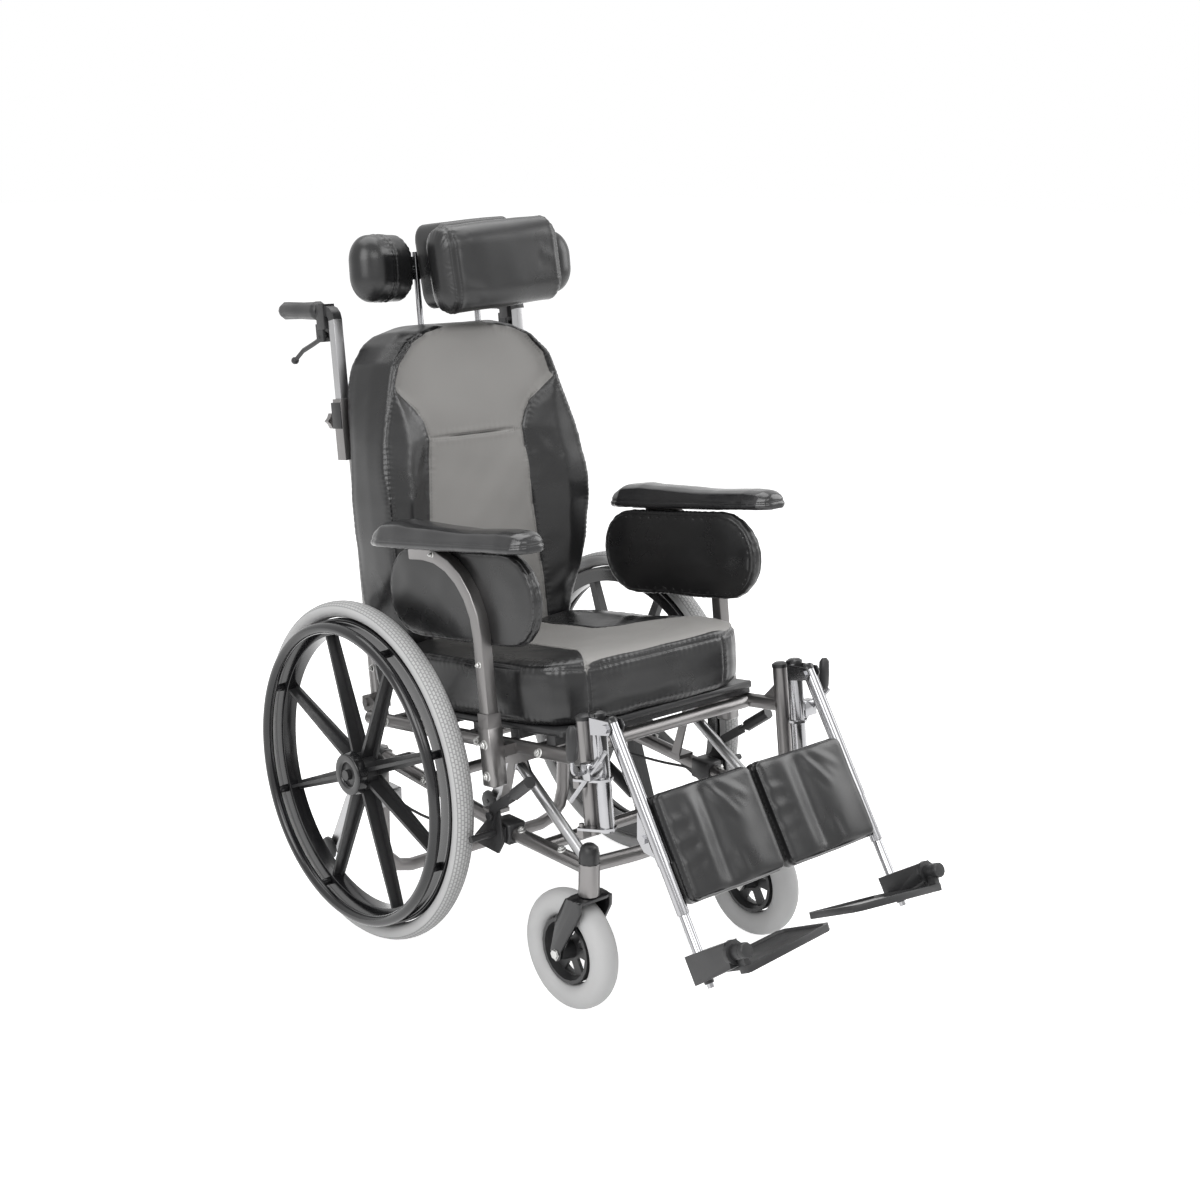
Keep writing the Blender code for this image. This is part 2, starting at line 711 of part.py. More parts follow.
def brake_mount(name, side, chair):
    """Black clamp on the side tube that carries the parking brake's pivot."""
    y = BRAKE_PIVOT_Y
    z = base_rail_z(y)
    outer = BRAKE_PLATE_X
    body = block((BASE_RAIL_X - 0.017, y - 0.020, z - 0.018), (BASE_RAIL_X + 0.019, y + 0.024, z + 0.018),
                 0.003)
    bore = tube([(BASE_RAIL_X, y - 0.032, base_rail_z(y - 0.032)),
                 (BASE_RAIL_X, y + 0.06, base_rail_z(y + 0.06))],
                slip_radius(FRAME_TUBE))
    plate = plate_yz(
        [(y + 0.052, z - 0.028), (y + 0.052, z - 0.016), (y + 0.020, z + 0.020),
         (y + 0.010, BRAKE_PIVOT_Z + 0.012),
         (y - 0.012, BRAKE_PIVOT_Z + 0.010), (y - 0.022, z - 0.010), (y - 0.010, z - 0.030)],
        outer - 0.004, outer,
    )
    arm = block((BASE_RAIL_X + 0.016, y - 0.012, z - 0.012), (outer - 0.002, y + 0.016, z + 0.012))
    pin = rod_x(0.0045, outer - 0.003, outer + 0.012, y, BRAKE_PIVOT_Z)
    head = rod_x(0.0075, outer + 0.0085, outer + 0.0125, y, BRAKE_PIVOT_Z, sides=8)
    anchor = rod_y(0.0052, BRAKE_PLATE_X - 0.006, y + 0.030, y + 0.0525, z - 0.024)
    mount = welded(cut(body, bore), arm, plate, pin, head, anchor)
    return node(name, sided(mount, side), "black_plastic", chair)


def parking_brake_lever(name, side, axis):
    """Push lever with a rubber grip, and the shoe bar that it swings against the tyre."""
    inner = BRAKE_PLATE_X + RUNNING
    outer = inner + 0.0055
    bar = swept(
        [(0.0, 0.006, -0.036), (0.0, 0.0, 0.0), (0.0, -0.004, 0.014), (0.0, -0.052, 0.048)],
        rectangle(outer - inner, 0.016), up=(0.0, 1.0, 0.0),
    )
    moved(bar, ((inner + outer) / 2, 0.0, 0.0))
    heading = Vector((0.008, -0.060, 0.046)).normalized()
    start = Vector(((inner + outer) / 2, -0.046, 0.044))
    grip_end = start + heading * 0.075
    neck = tube([start, start + heading * 0.03], 0.005)
    grip = swept(
        [start + heading * 0.018, start + heading * 0.024, grip_end - heading * 0.006, grip_end],
        circle(0.0105), up=(1.0, 0.0, 0.0),
    )
    shoe = rod_x(0.006, inner + 0.001, REAR_WHEEL_X + 0.004, -0.0020, -0.030)
    hole = hole_x(0.0045, inner - 0.01, outer + 0.01, 0.0, 0.0)
    lever = cut(welded(bar, neck, grip, shoe), hole)
    return node(name, sided(lever, side), "black_plastic", axis)


def anti_tip_arm(name, side, chair):
    """Cranked square tube clamped to the tipping tube, with a bored end for its twin wheels."""
    x = ANTI_TIP_X
    path = filleted(
        [(x, TIPPING_TUBE_Y + 0.005, 0.206), (x, 0.212, 0.163), (x, ANTI_TIP_AXLE_Y, ANTI_TIP_AXLE_Z)],
        0.030, 2,
    )
    arm = swept(path, rectangle(0.019, 0.012), up=(1.0, 0.0, 0.0))
    eye = rod_x(0.0105, x - 0.0065, x + 0.0065, ANTI_TIP_AXLE_Y, ANTI_TIP_AXLE_Z)
    clamp = block(
        (x - 0.012, TIPPING_TUBE_Y - 0.018, 0.190), (x + 0.036, TIPPING_TUBE_Y + 0.022, 0.222), 0.003,
    )
    post = slip_z(FRAME_TUBE, TIPPING_TUBE_X, TIPPING_TUBE_Y, 0.15, 0.26)
    bore = hole_x(0.0045, x - 0.02, x + 0.02, ANTI_TIP_AXLE_Y, ANTI_TIP_AXLE_Z)
    return node(name, sided(cut(welded(arm, eye, cut(clamp, post)), bore), side), "chrome", chair)


def anti_tip_wheels(name, side, axis):
    """Twin small wheels fixed on one shaft that turns in the arm's eye."""
    radius = ANTI_TIP_WHEEL_RADIUS
    shapes = [rod_x(0.0045, -0.021, 0.021, 0.0, 0.0)]
    for centre in (-0.0135, 0.0135):
        profile = ((-0.006, radius - 0.004), (-0.003, radius), (0.003, radius), (0.006, radius - 0.004))
        shapes.append(stacked_x(profile, 10, (centre, 0.0, 0.0)))
    return node(name, sided(welded(*shapes), side), "black_plastic", axis)


def brake_cable(name, side, chair):
    """Black cable from the rear of the base, under the side tube, to the brake mount's anchor."""
    x = BRAKE_PLATE_X - 0.006
    end_y = BRAKE_PIVOT_Y + 0.053
    end_z = base_rail_z(BRAKE_PIVOT_Y) - 0.024
    points = [Vector(point) for point in (
        (x, end_y, end_z), (x, end_y + 0.040, end_z - 0.004), (x - 0.006, -0.150, 0.232),
        (x - 0.010, -0.050, 0.228),
        (x - 0.016, 0.030, 0.242), (x - 0.021, 0.068, 0.290), (x - 0.021, 0.072, 0.330),
    )]
    smooth = []
    for index in range(len(points) - 1):
        before = points[max(index - 1, 0)]
        start, end = points[index], points[index + 1]
        after = points[min(index + 2, len(points) - 1)]
        for step in range(3):
            t = step / 3
            turn = 2 * before - 5 * start + 4 * end - after
            twist = 3 * start - before - 3 * end + after
            smooth.append(0.5 * (2 * start + (end - before) * t + turn * t * t + twist * t ** 3))
    smooth.append(points[-1])
    return node(name, sided(tube(smooth, 0.0027, 6), side), "black_rubber", chair)


# Wheels
def rear_tyre(name, side, axis):
    """Solid tyre with a round tread, seated on the rim's bed."""
    bed = REAR_WHEEL_RADIUS - REAR_TYRE_WIDTH * 0.78
    half = REAR_TYRE_WIDTH / 2
    middle = REAR_WHEEL_RADIUS - half
    profile = [(-0.010, bed), (0.010, bed)]
    for turn in (-25, 40, 90, 140, 205):
        angle = radians(turn)
        profile.append((half * cos(angle), middle + half * sin(angle)))
    return node(name, sided(turned_x(profile, WHEEL_SIDES, (0.0, 0.0, 0.0)), side), "grey_tyre", axis)


def rear_wheel(name, side, axis):
    """Moulded wheel: channel rim, tapered T spokes and a hub with a raised cap."""
    bed = REAR_WHEEL_RADIUS - REAR_TYRE_WIDTH * 0.78 - TOUCH
    half = RIM_WIDTH / 2
    inner = bed - RIM_DEPTH
    rim = turned_x(
        [(-0.011, bed), (-half, bed - 0.005), (-half + 0.004, inner), (half - 0.004, inner),
         (half, bed - 0.005), (0.011, bed)], WHEEL_SIDES, (0.0, 0.0, 0.0),
    )
    hub_half = HUB_WIDTH / 2
    hub = stacked_x(
        [(-hub_half, HUB_RADIUS * 0.78), (-0.016, HUB_RADIUS), (0.018, HUB_RADIUS),
         (hub_half, HUB_RADIUS * 0.62)],
        16, (0.0, 0.0, 0.0),
    )
    bore = hole_x(AXLE_RADIUS, -0.1, 0.1, 0.0, 0.0)
    spokes = []
    for index in range(SPOKE_COUNT):
        rings = []
        for radius, wide, rib, depth in ((HUB_RADIUS * 0.7, 0.012, 0.0032, 0.014),
                                         (inner + 0.004, 0.0078, 0.0026, 0.010)):
            face, back = -depth + 0.0005, -depth + 0.0062
            rings.append([(face, -wide, radius), (back, -wide, radius), (back, -rib, radius),
                          (depth, -rib, radius),
                          (depth, rib, radius), (back, rib, radius), (back, wide, radius),
                          (face, wide, radius)])
        spokes.append(moved(skinned(rings), turn=(360.0 * (index + 0.5) / SPOKE_COUNT, "X")))
    wheel = cut(welded(rim, hub, *spokes), bore)
    return node(name, sided(wheel, side), "black_plastic", axis)


def handrim(name, side, axis):
    """Push ring outboard of the rim, on short feet that screw to the wheel at the spokes."""
    standoff = HANDRIM_STANDOFF
    section = [(standoff + HANDRIM_TUBE * cos(a), HANDRIM_RADIUS + HANDRIM_TUBE * sin(a))
               for a in (2 * pi * i / 5 for i in range(5))]
    ring = turned_x(section, WHEEL_SIDES, (0.0, 0.0, 0.0))
    feet = []
    seat_radius = REAR_WHEEL_RADIUS - REAR_TYRE_WIDTH * 0.78 - RIM_DEPTH * 0.55
    for index in range(SPOKE_COUNT):
        foot = tube(
            [(RIM_WIDTH / 2 + TOUCH, 0.0, seat_radius), (standoff, 0.0, HANDRIM_RADIUS - 0.002)],
            0.0058, 4, up=(0.0, 1.0, 0.0),
        )
        feet.append(moved(foot, turn=(360.0 * (index + 0.5) / SPOKE_COUNT, "X")))
    return node(name, sided(welded(ring, *feet), side), "gloss_black", axis)


def caster_fork(name, side, axis):
    """Swivelling fork: round crown, stem, two arms that trail to the axle, and the axle bolt."""
    gap = CASTER_TYRE_WIDTH / 2 + 0.006
    arm_thickness = 0.006
    crown_top = CASTER_HOUSING_BOTTOM - 0.002
    crown_low = crown_top - 0.0055
    trail = CASTER_TRAIL
    axle_z = CASTER_RADIUS
    crown = plate_xy(rectangle(2 * (gap + arm_thickness), 0.036, 0.012, 2), crown_low, crown_top)
    outline = [
        (-0.017, crown_top - 0.001), (0.017, crown_top - 0.001), (trail * 0.62 + 0.014, crown_low - 0.035),
        (trail + 0.0125, axle_z + 0.004), (trail + 0.008, axle_z - 0.009), (trail - 0.002, axle_z - 0.0125),
        (trail - 0.011, axle_z - 0.006), (trail - 0.0135, axle_z + 0.008), (-0.004, crown_low - 0.040),
        (-0.017, crown_low - 0.014),
    ]
    arms = [plate_yz(outline, way * gap, way * (gap + arm_thickness)) for way in (1.0, -1.0)]
    stem = rod_z(STEM_RADIUS, 0.0, 0.0, crown_low + 0.001, CASTER_HOUSING_BOTTOM + 0.033)
    bush = rod_z(0.013, 0.0, 0.0, crown_top - 0.001, CASTER_HOUSING_BOTTOM - TOUCH)
    bolt_end = gap + arm_thickness + 0.004
    bolt = rod_x(0.0045, -bolt_end, bolt_end, trail, axle_z)
    heads = [rod_x(0.008, *sorted((way * (bolt_end - 0.0045), way * bolt_end)), trail, axle_z, 6)
             for way in (1.0, -1.0)]
    fork = welded(crown, *arms, stem, bush, bolt, *heads)
    return node(name, sided(fork, side), "gloss_black", axis)


def caster_tyre(name, side, axis):
    """Grey tyre with round shoulders."""
    half = CASTER_TYRE_WIDTH / 2
    top = CASTER_RADIUS
    profile = [(-0.014, CASTER_BED), (0.014, CASTER_BED), (half, CASTER_BED + 0.014),
               (half - 0.002, top - 0.013),
               (half - 0.009, top - 0.003), (0.006, top), (-0.006, top), (-half + 0.009, top - 0.003),
               (-half + 0.002, top - 0.013), (-half, CASTER_BED + 0.014)]
    return node(name, sided(turned_x(profile, CASTER_SIDES, (0.0, 0.0, 0.0)), side), "grey_tyre", axis)


def caster_hub(name, side, axis):
    """Black hub: rim ring, thin web with cut windows between its ribs, and a long bored barrel."""
    bed = CASTER_BED - TOUCH
    wall = bed - 0.006
    bore = bore_radius(0.0045, RUNNING)
    barrel_half = CASTER_TYRE_WIDTH / 2 + 0.0055
    profile = [(-barrel_half, bore), (-barrel_half, 0.012), (-0.003, 0.016), (-0.003, wall - 0.004),
               (-0.016, wall),
               (-0.016, bed), (0.016, bed), (0.016, wall), (0.003, wall - 0.004), (0.003, 0.016),
               (barrel_half, 0.012), (barrel_half, bore)]
    windows = []
    for index in range(CASTER_WINDOWS):
        outline = [(-0.0035, 0.0215), (0.0035, 0.0215), (0.0140, wall - 0.0085), (0.0080, wall - 0.0065),
                   (-0.0080, wall - 0.0065), (-0.0140, wall - 0.0085)]
        window = plate_yz(outline, -0.01, 0.01)
        windows.append(moved(window, turn=(360.0 * index / CASTER_WINDOWS, "X")))
    hub = cut(turned_x(profile, CASTER_SIDES, (0.0, 0.0, 0.0)), *windows)
    return node(name, sided(hub, side), "black_plastic", axis)


# Seat unit
def side_of_seat():
    """Seat rail with its legrest post, armrest socket, tilt gusset, back hinge ear and swing pins."""
    rail = rod_y(FRAME_TUBE, SEAT_RAIL_X, SEAT_RAIL_FRONT - 0.008, SEAT_RAIL_REAR, SEAT_RAIL_Z)
    post = rod_z(FRAME_TUBE, POST_X, POST_Y, POST_BOTTOM, POST_TOP)
    cap = stacked_z([(-0.002, FRAME_TUBE + 0.001), (0.004, FRAME_TUBE + 0.001), (0.007, FRAME_TUBE * 0.7)], 8,
                    (POST_X, POST_Y, POST_TOP))
    rail_top = SEAT_RAIL_Z + FRAME_TUBE
    brace = plate_yz(
        [(POST_Y + FRAME_TUBE - 0.004, POST_TOP - 0.030), (POST_Y + FRAME_TUBE - 0.004, rail_top - 0.006),
         (POST_Y + 0.045, rail_top - 0.006)],
        SEAT_RAIL_X - 0.002, SEAT_RAIL_X + 0.002,
    )
    gusset = plate_yz(
        [(0.018, SEAT_RAIL_Z - 0.004), (0.014, -0.013), (-0.020, -0.017), (-0.085, SEAT_RAIL_Z - 0.011)],
        SEAT_RAIL_X - 0.0025, SEAT_RAIL_X + 0.0025,
    )
    hole = hole_x(0.006, SEAT_RAIL_X - 0.016, SEAT_RAIL_X + 0.05, 0.0, 0.0)
    half_socket = ARM_TUBE / 2 + 0.004
    socket = block(
        (ARM_POST_X - half_socket, ARM_POST_Y - half_socket, ARM_SOCKET_BOTTOM),
        (ARM_POST_X + half_socket, ARM_POST_Y + half_socket, ARM_SOCKET_TOP), 0.0025,
    )
    collar_half = half_socket - 0.0018
    collar = block(
        (ARM_POST_X - collar_half, ARM_POST_Y - collar_half, ARM_SOCKET_TOP - 0.004),
        (ARM_POST_X + collar_half, ARM_POST_Y + collar_half, ARM_COLLAR_TOP),
    )
    half_bore = ARM_TUBE / 2 + TOUCH
    bore = block(
        (ARM_POST_X - half_bore, ARM_POST_Y - half_bore, ARM_SOCKET_BOTTOM + 0.006),
        (ARM_POST_X + half_bore, ARM_POST_Y + half_bore, ARM_COLLAR_TOP + 0.05),
    )
    bridge = block((SEAT_RAIL_X, ARM_POST_Y - 0.012, SEAT_RAIL_Z - 0.009),
                   (ARM_POST_X - half_socket + 0.002, ARM_POST_Y + 0.012, SEAT_RAIL_Z + 0.009))
    ear_from = CANE_X + CANE_SIZE / 2 + TOUCH
    ear_to = SEAT_RAIL_X - 0.006
    ear = plate_yz(
        [(BACK_HINGE_Y - 0.042, SEAT_RAIL_Z + 0.010), (BACK_HINGE_Y - 0.042, SEAT_RAIL_Z - 0.008),
         (BACK_HINGE_Y + 0.010, BACK_HINGE_Z - 0.016), (BACK_HINGE_Y + 0.015, BACK_HINGE_Z - 0.004),
         (BACK_HINGE_Y + 0.013, BACK_HINGE_Z + 0.011), (BACK_HINGE_Y - 0.004, BACK_HINGE_Z + 0.015),
         (BACK_HINGE_Y - 0.020, BACK_HINGE_Z + 0.008)],
        ear_from, ear_to,
    )
    hinge_bolt = rod_x(0.005, CANE_X - CANE_SIZE / 2 - 0.006, ear_to + 0.004, BACK_HINGE_Y, BACK_HINGE_Z)
    bolt_head = rod_x(0.008, ear_to - 0.001, ear_to + 0.0045, BACK_HINGE_Y, BACK_HINGE_Z, 6)
    lugs = []
    for height in SWING_PLATE_HEIGHTS:
        lug = block((POST_X, POST_Y - 0.007, height - 0.012),
                    (SWING_PIN_X + 0.0045, POST_Y + 0.007, height - TOUCH))
        pin = rod_z(0.004, SWING_PIN_X, POST_Y, height - 0.006, height + SWING_PLATE + 0.006)
        lugs += [lug, pin]
    frame = welded(rail, post, cap, brace, gusset, cut(welded(socket, collar), bore), bridge, ear, hinge_bolt,
                   bolt_head, *lugs)
    return cut(frame, hole)


def seat_frame(seat):
    """The welded seat frame: both sides, their cross tubes and the gas springs' brackets."""
    inner = SEAT_RAIL_X - FRAME_TUBE + 0.003
    tubes = [rod_x(0.0115, -inner, inner, y, CROSS_TUBE_Z) for y in SEAT_CROSS_TUBES]
    left = side_of_seat()
    right = sided(copied(left), -1.0)
    clevis = spring_clevis(SEAT_CROSS_TUBES[1], CROSS_TUBE_Z, TILT_SPRING_HIGH)
    hanger = block((-0.007, SEAT_CROSS_TUBES[1] - 0.006, CROSS_TUBE_Z - 0.008),
                   (0.007, SEAT_CROSS_TUBES[1] + 0.006, CROSS_TUBE_Z - 0.002))
    return node("seat_frame", welded(left, right, *tubes, *clevis, hanger), "gunmetal", seat)


def tilt_spring_parts(cylinder_axis, rod_axis):
    """Gas spring between the base and the seat, drawn along +Y from its lower pin."""
    length = tilt_spring_length()
    eye_half = SPRING_EYE_HALF - 0.0005
    tube_part = rod_y(SPRING_TUBE, 0.0, 0.014, length * 0.62, 0.0)
    eye = rod_x(0.0095, -eye_half, eye_half, 0.0, 0.0)
    neck = block((-0.004, 0.004, -0.004), (0.004, 0.018, 0.004))
    pin_hole = hole_x(SPRING_PIN, -0.02, 0.02, 0.0, 0.0)
    bore = slip_y(SPRING_ROD, 0.0, length * 0.62 - SPRING_STROKE - 0.020, length * 0.62 + 0.01, 0.0)
    node("tilt_cylinder", cut(welded(tube_part, eye, neck), pin_hole, bore), "black_plastic", cylinder_axis)
    rod = rod_y(SPRING_ROD, 0.0, length * 0.62 - 0.016, length - 0.008, 0.0)
    rod_eye = rod_x(0.0110, -eye_half, eye_half, length, 0.0)
    slack = hole_x(SPRING_PIN, -0.02, 0.02, length, 0.0, SPRING_SLACK)
    node("tilt_rod", cut(welded(rod, rod_eye), slack), "chrome", rod_axis)


def tilt_spring_length():
    high = seat_to_chair(TILT_SPRING_HIGH)
    return (high - Vector(TILT_SPRING_LOW)).length


def tilt_spring_slope():
    """The spring's rise from the horizontal at rest, in degrees."""
    along = seat_to_chair(TILT_SPRING_HIGH) - Vector(TILT_SPRING_LOW)
    return degrees(atan2(along.y, along.x))


def seat_to_chair(point):
    """A (y, z) point of the seat's frame in the chair's frame."""
    y, z = point
    turn = radians(SEAT_TILT)
    return Vector((TILT_AXIS_Y + y * cos(turn) + z * sin(turn), TILT_AXIS_Z - y * sin(turn) + z * cos(turn)))


def recline_spring_parts(seat, rod_axis):
    """Lockable gas spring under the seat: clamped cylinder, and a rod whose slotted head drives the back."""
    front = SEAT_CROSS_TUBES[1]
    z = RECLINE_SPRING_Z
    tube_part = rod_y(SPRING_TUBE, RECLINE_SPRING_X, front - 0.020, RECLINE_TUBE_END, z)
    straps = []
    for y in (front, SEAT_CROSS_TUBES[2]):
        if y > RECLINE_TUBE_END:
            continue
        straps.append(block((RECLINE_SPRING_X - 0.008, y - 0.010, z),
                            (RECLINE_SPRING_X + 0.008, y + 0.010, CROSS_TUBE_Z)))
    seats = [slip_x(0.0115, -0.1, 0.1, y, CROSS_TUBE_Z) for y in SEAT_CROSS_TUBES[1:]]
    bore = slip_y(SPRING_ROD, RECLINE_SPRING_X, front + 0.010, RECLINE_TUBE_END + 0.01, z)
    node("recline_cylinder", cut(welded(tube_part, *straps), *seats, bore), "black_plastic", seat)
    pin_y, pin_z = recline_pin()
    rod = rod_y(SPRING_ROD, RECLINE_SPRING_X, RECLINE_TUBE_END - 0.060, pin_y - 0.010, z)
    head = block((RECLINE_SPRING_X - 0.005, pin_y - 0.012, z - 0.0165),
                 (RECLINE_SPRING_X + 0.005, pin_y + 0.012, z + 0.0165),
                 0.002)
    slot = block((RECLINE_SPRING_X - 0.02, pin_y - SPRING_PIN - SPRING_SLACK, z - 0.0105),
                 (RECLINE_SPRING_X + 0.02, pin_y + SPRING_PIN + SPRING_SLACK, z + 0.0105))
    node("recline_rod", cut(welded(rod, head), slot), "chrome", rod_axis)


def recline_pin():
    """The backrest lever's pin at rest, as (y, z) in the seat's frame."""
    turn = radians(RECLINE_LEVER_ANGLE - BACK_LEAN)
    return (BACK_HINGE_Y + RECLINE_LEVER * sin(turn), BACK_HINGE_Z - RECLINE_LEVER * cos(turn))


def seat_board(seat):
    """Black seat pan: a board stiffened by ribs that rest on the rails."""
    rib_low = SEAT_RAIL_Z + FRAME_TUBE + TOUCH
    board_low = rib_low + SEAT_RIB_HEIGHT
    half = SEAT_RAIL_X - 0.004
    board = block((-half, SEAT_FRONT + 0.008, board_low),
                  (half, SEAT_REAR - 0.006, board_low + SEAT_BOARD_THICKNESS),
                  0.002)
    ribs = []
    for y in (SEAT_FRONT + 0.020, -0.040, 0.060, 0.160, 0.250):
        ribs.append(block((-half - 0.006, y, rib_low), (half + 0.006, y + 0.022, board_low + 0.004)))
    return node("seat_board", welded(board, *ribs), "black_plastic", seat)


def seat_half_width(y):
    """Half the seat cushion's width at a distance y behind the tilt axis, with its round front corners."""
    corner = SEAT_FRONT + SEAT_CORNER
    if y >= corner:
        return SEAT_HALF_WIDTH
    share = (corner - y) / SEAT_CORNER
    return SEAT_HALF_WIDTH - SEAT_CORNER_WIDTH * (1.0 - (max(0.0, 1.0 - share * share)) ** 0.5)


def seat_panel_edge(y):
    """Half width of the grey panel sewn into the seat's top: it flares out towards the front."""
    plan = between(y, ((-0.040, 1.0), (-0.015, 0.90), (0.025, 0.68), (0.070, 0.48), (0.115, 0.37),
                       (0.30, 0.36)))
    return min(plan * SEAT_HALF_WIDTH, seat_half_width(y) * 0.93)


def sewn_row(edge, seam):
    """Positions across a cushion from one edge to the other, three of them close together over each seam."""
    gap = min(0.004, (edge - seam) * 0.4)
    right = [0.0, seam * 0.55, seam - gap, seam, seam + gap, seam + (edge - seam) * 0.55, edge]
    return [-x for x in reversed(right[1:])] + right


def seat_cushion(seat):
    """Thick seat cushion: hollow top, sewn centre panel, round front corners, full sides between seams."""
    low = SEAT_RAIL_Z + FRAME_TUBE + SEAT_RIB_HEIGHT + SEAT_BOARD_THICKNESS + 2 * TOUCH
    top = low + SEAT_THICKNESS
    front, rear = SEAT_FRONT, SEAT_REAR
    corner = front + SEAT_CORNER
    levels = (front, front + 0.006, front + 0.018, front + 0.040, corner, corner + 0.040, 0.025, 0.070, 0.115,
              0.180, rear - 0.030, rear)
    face = []
    for y in levels:
        edge = seat_half_width(y)
        seam = seat_panel_edge(y)
        near_front = max(0.0, 1.0 - (y - front) / 0.030)
        row = []
        for column, x in enumerate(sewn_row(edge, seam)):
            share = abs(x) / edge
            hollow = SEAT_HOLLOW * max(0.0, 1.0 - (abs(x) / 0.170) ** 2) * min(1.0,
                                                                               max(0.0, (y - front) / 0.120))
            rolled = 0.010 * max(0.0, (share - 0.90) / 0.10) ** 2 + 0.006 * near_front ** 2
            groove = SEAM_DEPTH if column in (3, 9) and edge - seam > 0.018 else 0.0
            row.append((x, y, top - hollow - rolled - groove))
        face.append(row)
    rim = [face[i][j] for i, j in border(len(levels) - 1, len(face[0]) - 1)]
    middle_y = (front + rear) / 2
    loops = []
    boxing = ((-0.004, -0.0020), (-0.009, 0.0015), (-0.030, 0.0035), (-0.065, 0.0030), (-0.088, -0.001),
              (-0.100, -0.010))
    for height, grow in boxing:
        loop = []
        for x, y, z in rim:
            out_x = x + grow * (1.0 if x > 0 else -1.0) * min(1.0, abs(x) / 0.12)
            out_y = y - (grow if y < corner else 0.0)
            base = z if height > -0.008 else top - 0.008
            loop.append((out_x, min(out_y, rear), max(base + height, low)))
        loops.append(loop)
    loops.append([(x * 0.96, middle_y + (y - middle_y) * 0.97, low) for x, y, z in rim])
    return node("seat_cushion", quilted(face, loops), "black_leather", seat)


# Backrest
def back_frame(back):
    """Square back canes, cross tubes, and the handle sockets outside them with collars and star knobs."""
    half = CANE_SIZE / 2
    cane = block((CANE_X - half, -half, -0.014), (CANE_X + half, half, CANE_TOP - 0.015))
    low = CANE_TOP - HANDLE_SOCKET
    socket = block((HANDLE_X - half, -half, low), (HANDLE_X + half, half, CANE_TOP))
    bore_half = HANDLE_TUBE / 2 + TOUCH
    bore = block((HANDLE_X - bore_half, -bore_half, low - 0.05),
                 (HANDLE_X + bore_half, bore_half, CANE_TOP + 0.05))
    collar = block((HANDLE_X - half - 0.0025, -half + 0.0006, CANE_TOP - 0.052),
                   (HANDLE_X + half + 0.0025, half + 0.003, CANE_TOP - 0.006))
    knob_z = CANE_TOP - 0.039
    screw = tube([(HANDLE_X, half - 0.002, knob_z), (HANDLE_X, half + 0.032, knob_z)], 0.003,
                 up=(0.0, 0.0, 1.0))
    lobes = [(0.0145 * (1.0 if i % 2 == 0 else 0.70) * cos(2 * pi * i / 10),
              0.0145 * (1.0 if i % 2 == 0 else 0.70) * sin(2 * pi * i / 10)) for i in range(10)]
    knob = skinned([[(HANDLE_X + u, y, knob_z + v) for u, v in lobes] for y in (half + 0.020, half + 0.031)])
    hole = hole_x(0.005, CANE_X - 0.05, CANE_X + 0.05, 0.0, 0.0)
    whole = cut(welded(cane, socket, collar, screw, knob), bore, hole)
    inner = CANE_X - half + 0.002
    bars = [rod_x(0.0095, -inner, inner, 0.001, z) for z in (0.070, 0.300, 0.470)]
    lever = recline_lever()
    return node("back_frame", welded(copied(whole), sided(whole, -1.0), *bars, *lever), "gunmetal", back)


def recline_lever():
    """Cross tube at the hinge with the forked lever that the recline spring's head drives."""
    inner = CANE_X - CANE_SIZE / 2 + 0.002
    low_bar = rod_x(0.0085, -inner, inner, 0.0, 0.022)
    turn = radians(RECLINE_LEVER_ANGLE)
    down = Vector((sin(turn), -cos(turn)))
    side = Vector((cos(turn), sin(turn))) * 0.009
    pin = down * RECLINE_LEVER
    end = down * (RECLINE_LEVER + 0.008)
    top = Vector((0.0, 0.022))
    outline = [tuple(top + side), tuple(top - side), tuple(end - side * 0.8), tuple(end + side * 0.8)]
    shapes = [low_bar]
    for way in (1.0, -1.0):
        low, high = sorted((RECLINE_SPRING_X + way * 0.0065, RECLINE_SPRING_X + way * 0.0105))
        shapes.append(plate_yz(outline, low, high))
    shapes.append(rod_x(SPRING_PIN, RECLINE_SPRING_X - 0.012, RECLINE_SPRING_X + 0.012, pin.x, pin.y))
    return shapes


def back_seam_half_width(height):
    """Half width of the back cushion's front face, out to the sewn edge, at a height above the hinge."""
    wide = between(height, ((0.030, 0.73), (0.100, 0.79), (0.150, 0.84), (0.190, 0.90), (0.255, 0.97),
                            (0.336, 1.0),
                            (0.400, 1.0), (0.480, 0.95), (0.560, 0.83), (0.605, 0.76), (0.640, 0.60),
                            (0.655, 0.45), (0.664, 0.24)))
    return wide * BACK_HALF_WIDTH


def back_rear_half_width(height):
    """Half width of the back cushion where its sides meet the canes."""
    wide = between(height, ((0.030, 0.88), (0.186, 0.945), (0.363, 0.965), (0.463, 0.935), (0.539, 0.93),
                            (0.594, 0.885), (0.632, 0.81), (0.655, 0.66), (0.667, 0.40)))
    return wide * BACK_HALF_WIDTH


def back_panel_edge(height):
    """Half width of the grey panel: a narrow column that opens into a wide shield under the headrest."""
    plan = between(height, ((0.030, 0.59), (0.158, 0.575), (0.334, 0.515), (0.470, 0.463), (0.500, 0.506),
                            (0.522, 0.57), (0.566, 0.80), (0.600, 1.0)))
    return min(plan * BACK_HALF_WIDTH, back_seam_half_width(height) * 0.93)


def back_bolster(height):
    """How far the front face's sides stand ahead of its middle."""
    return between(height, ((0.030, 0.004), (0.150, 0.018), (0.255, 0.036), (0.360, 0.046), (0.480, 0.030),
                            (0.560, 0.022), (0.620, 0.018), (0.664, 0.016)))


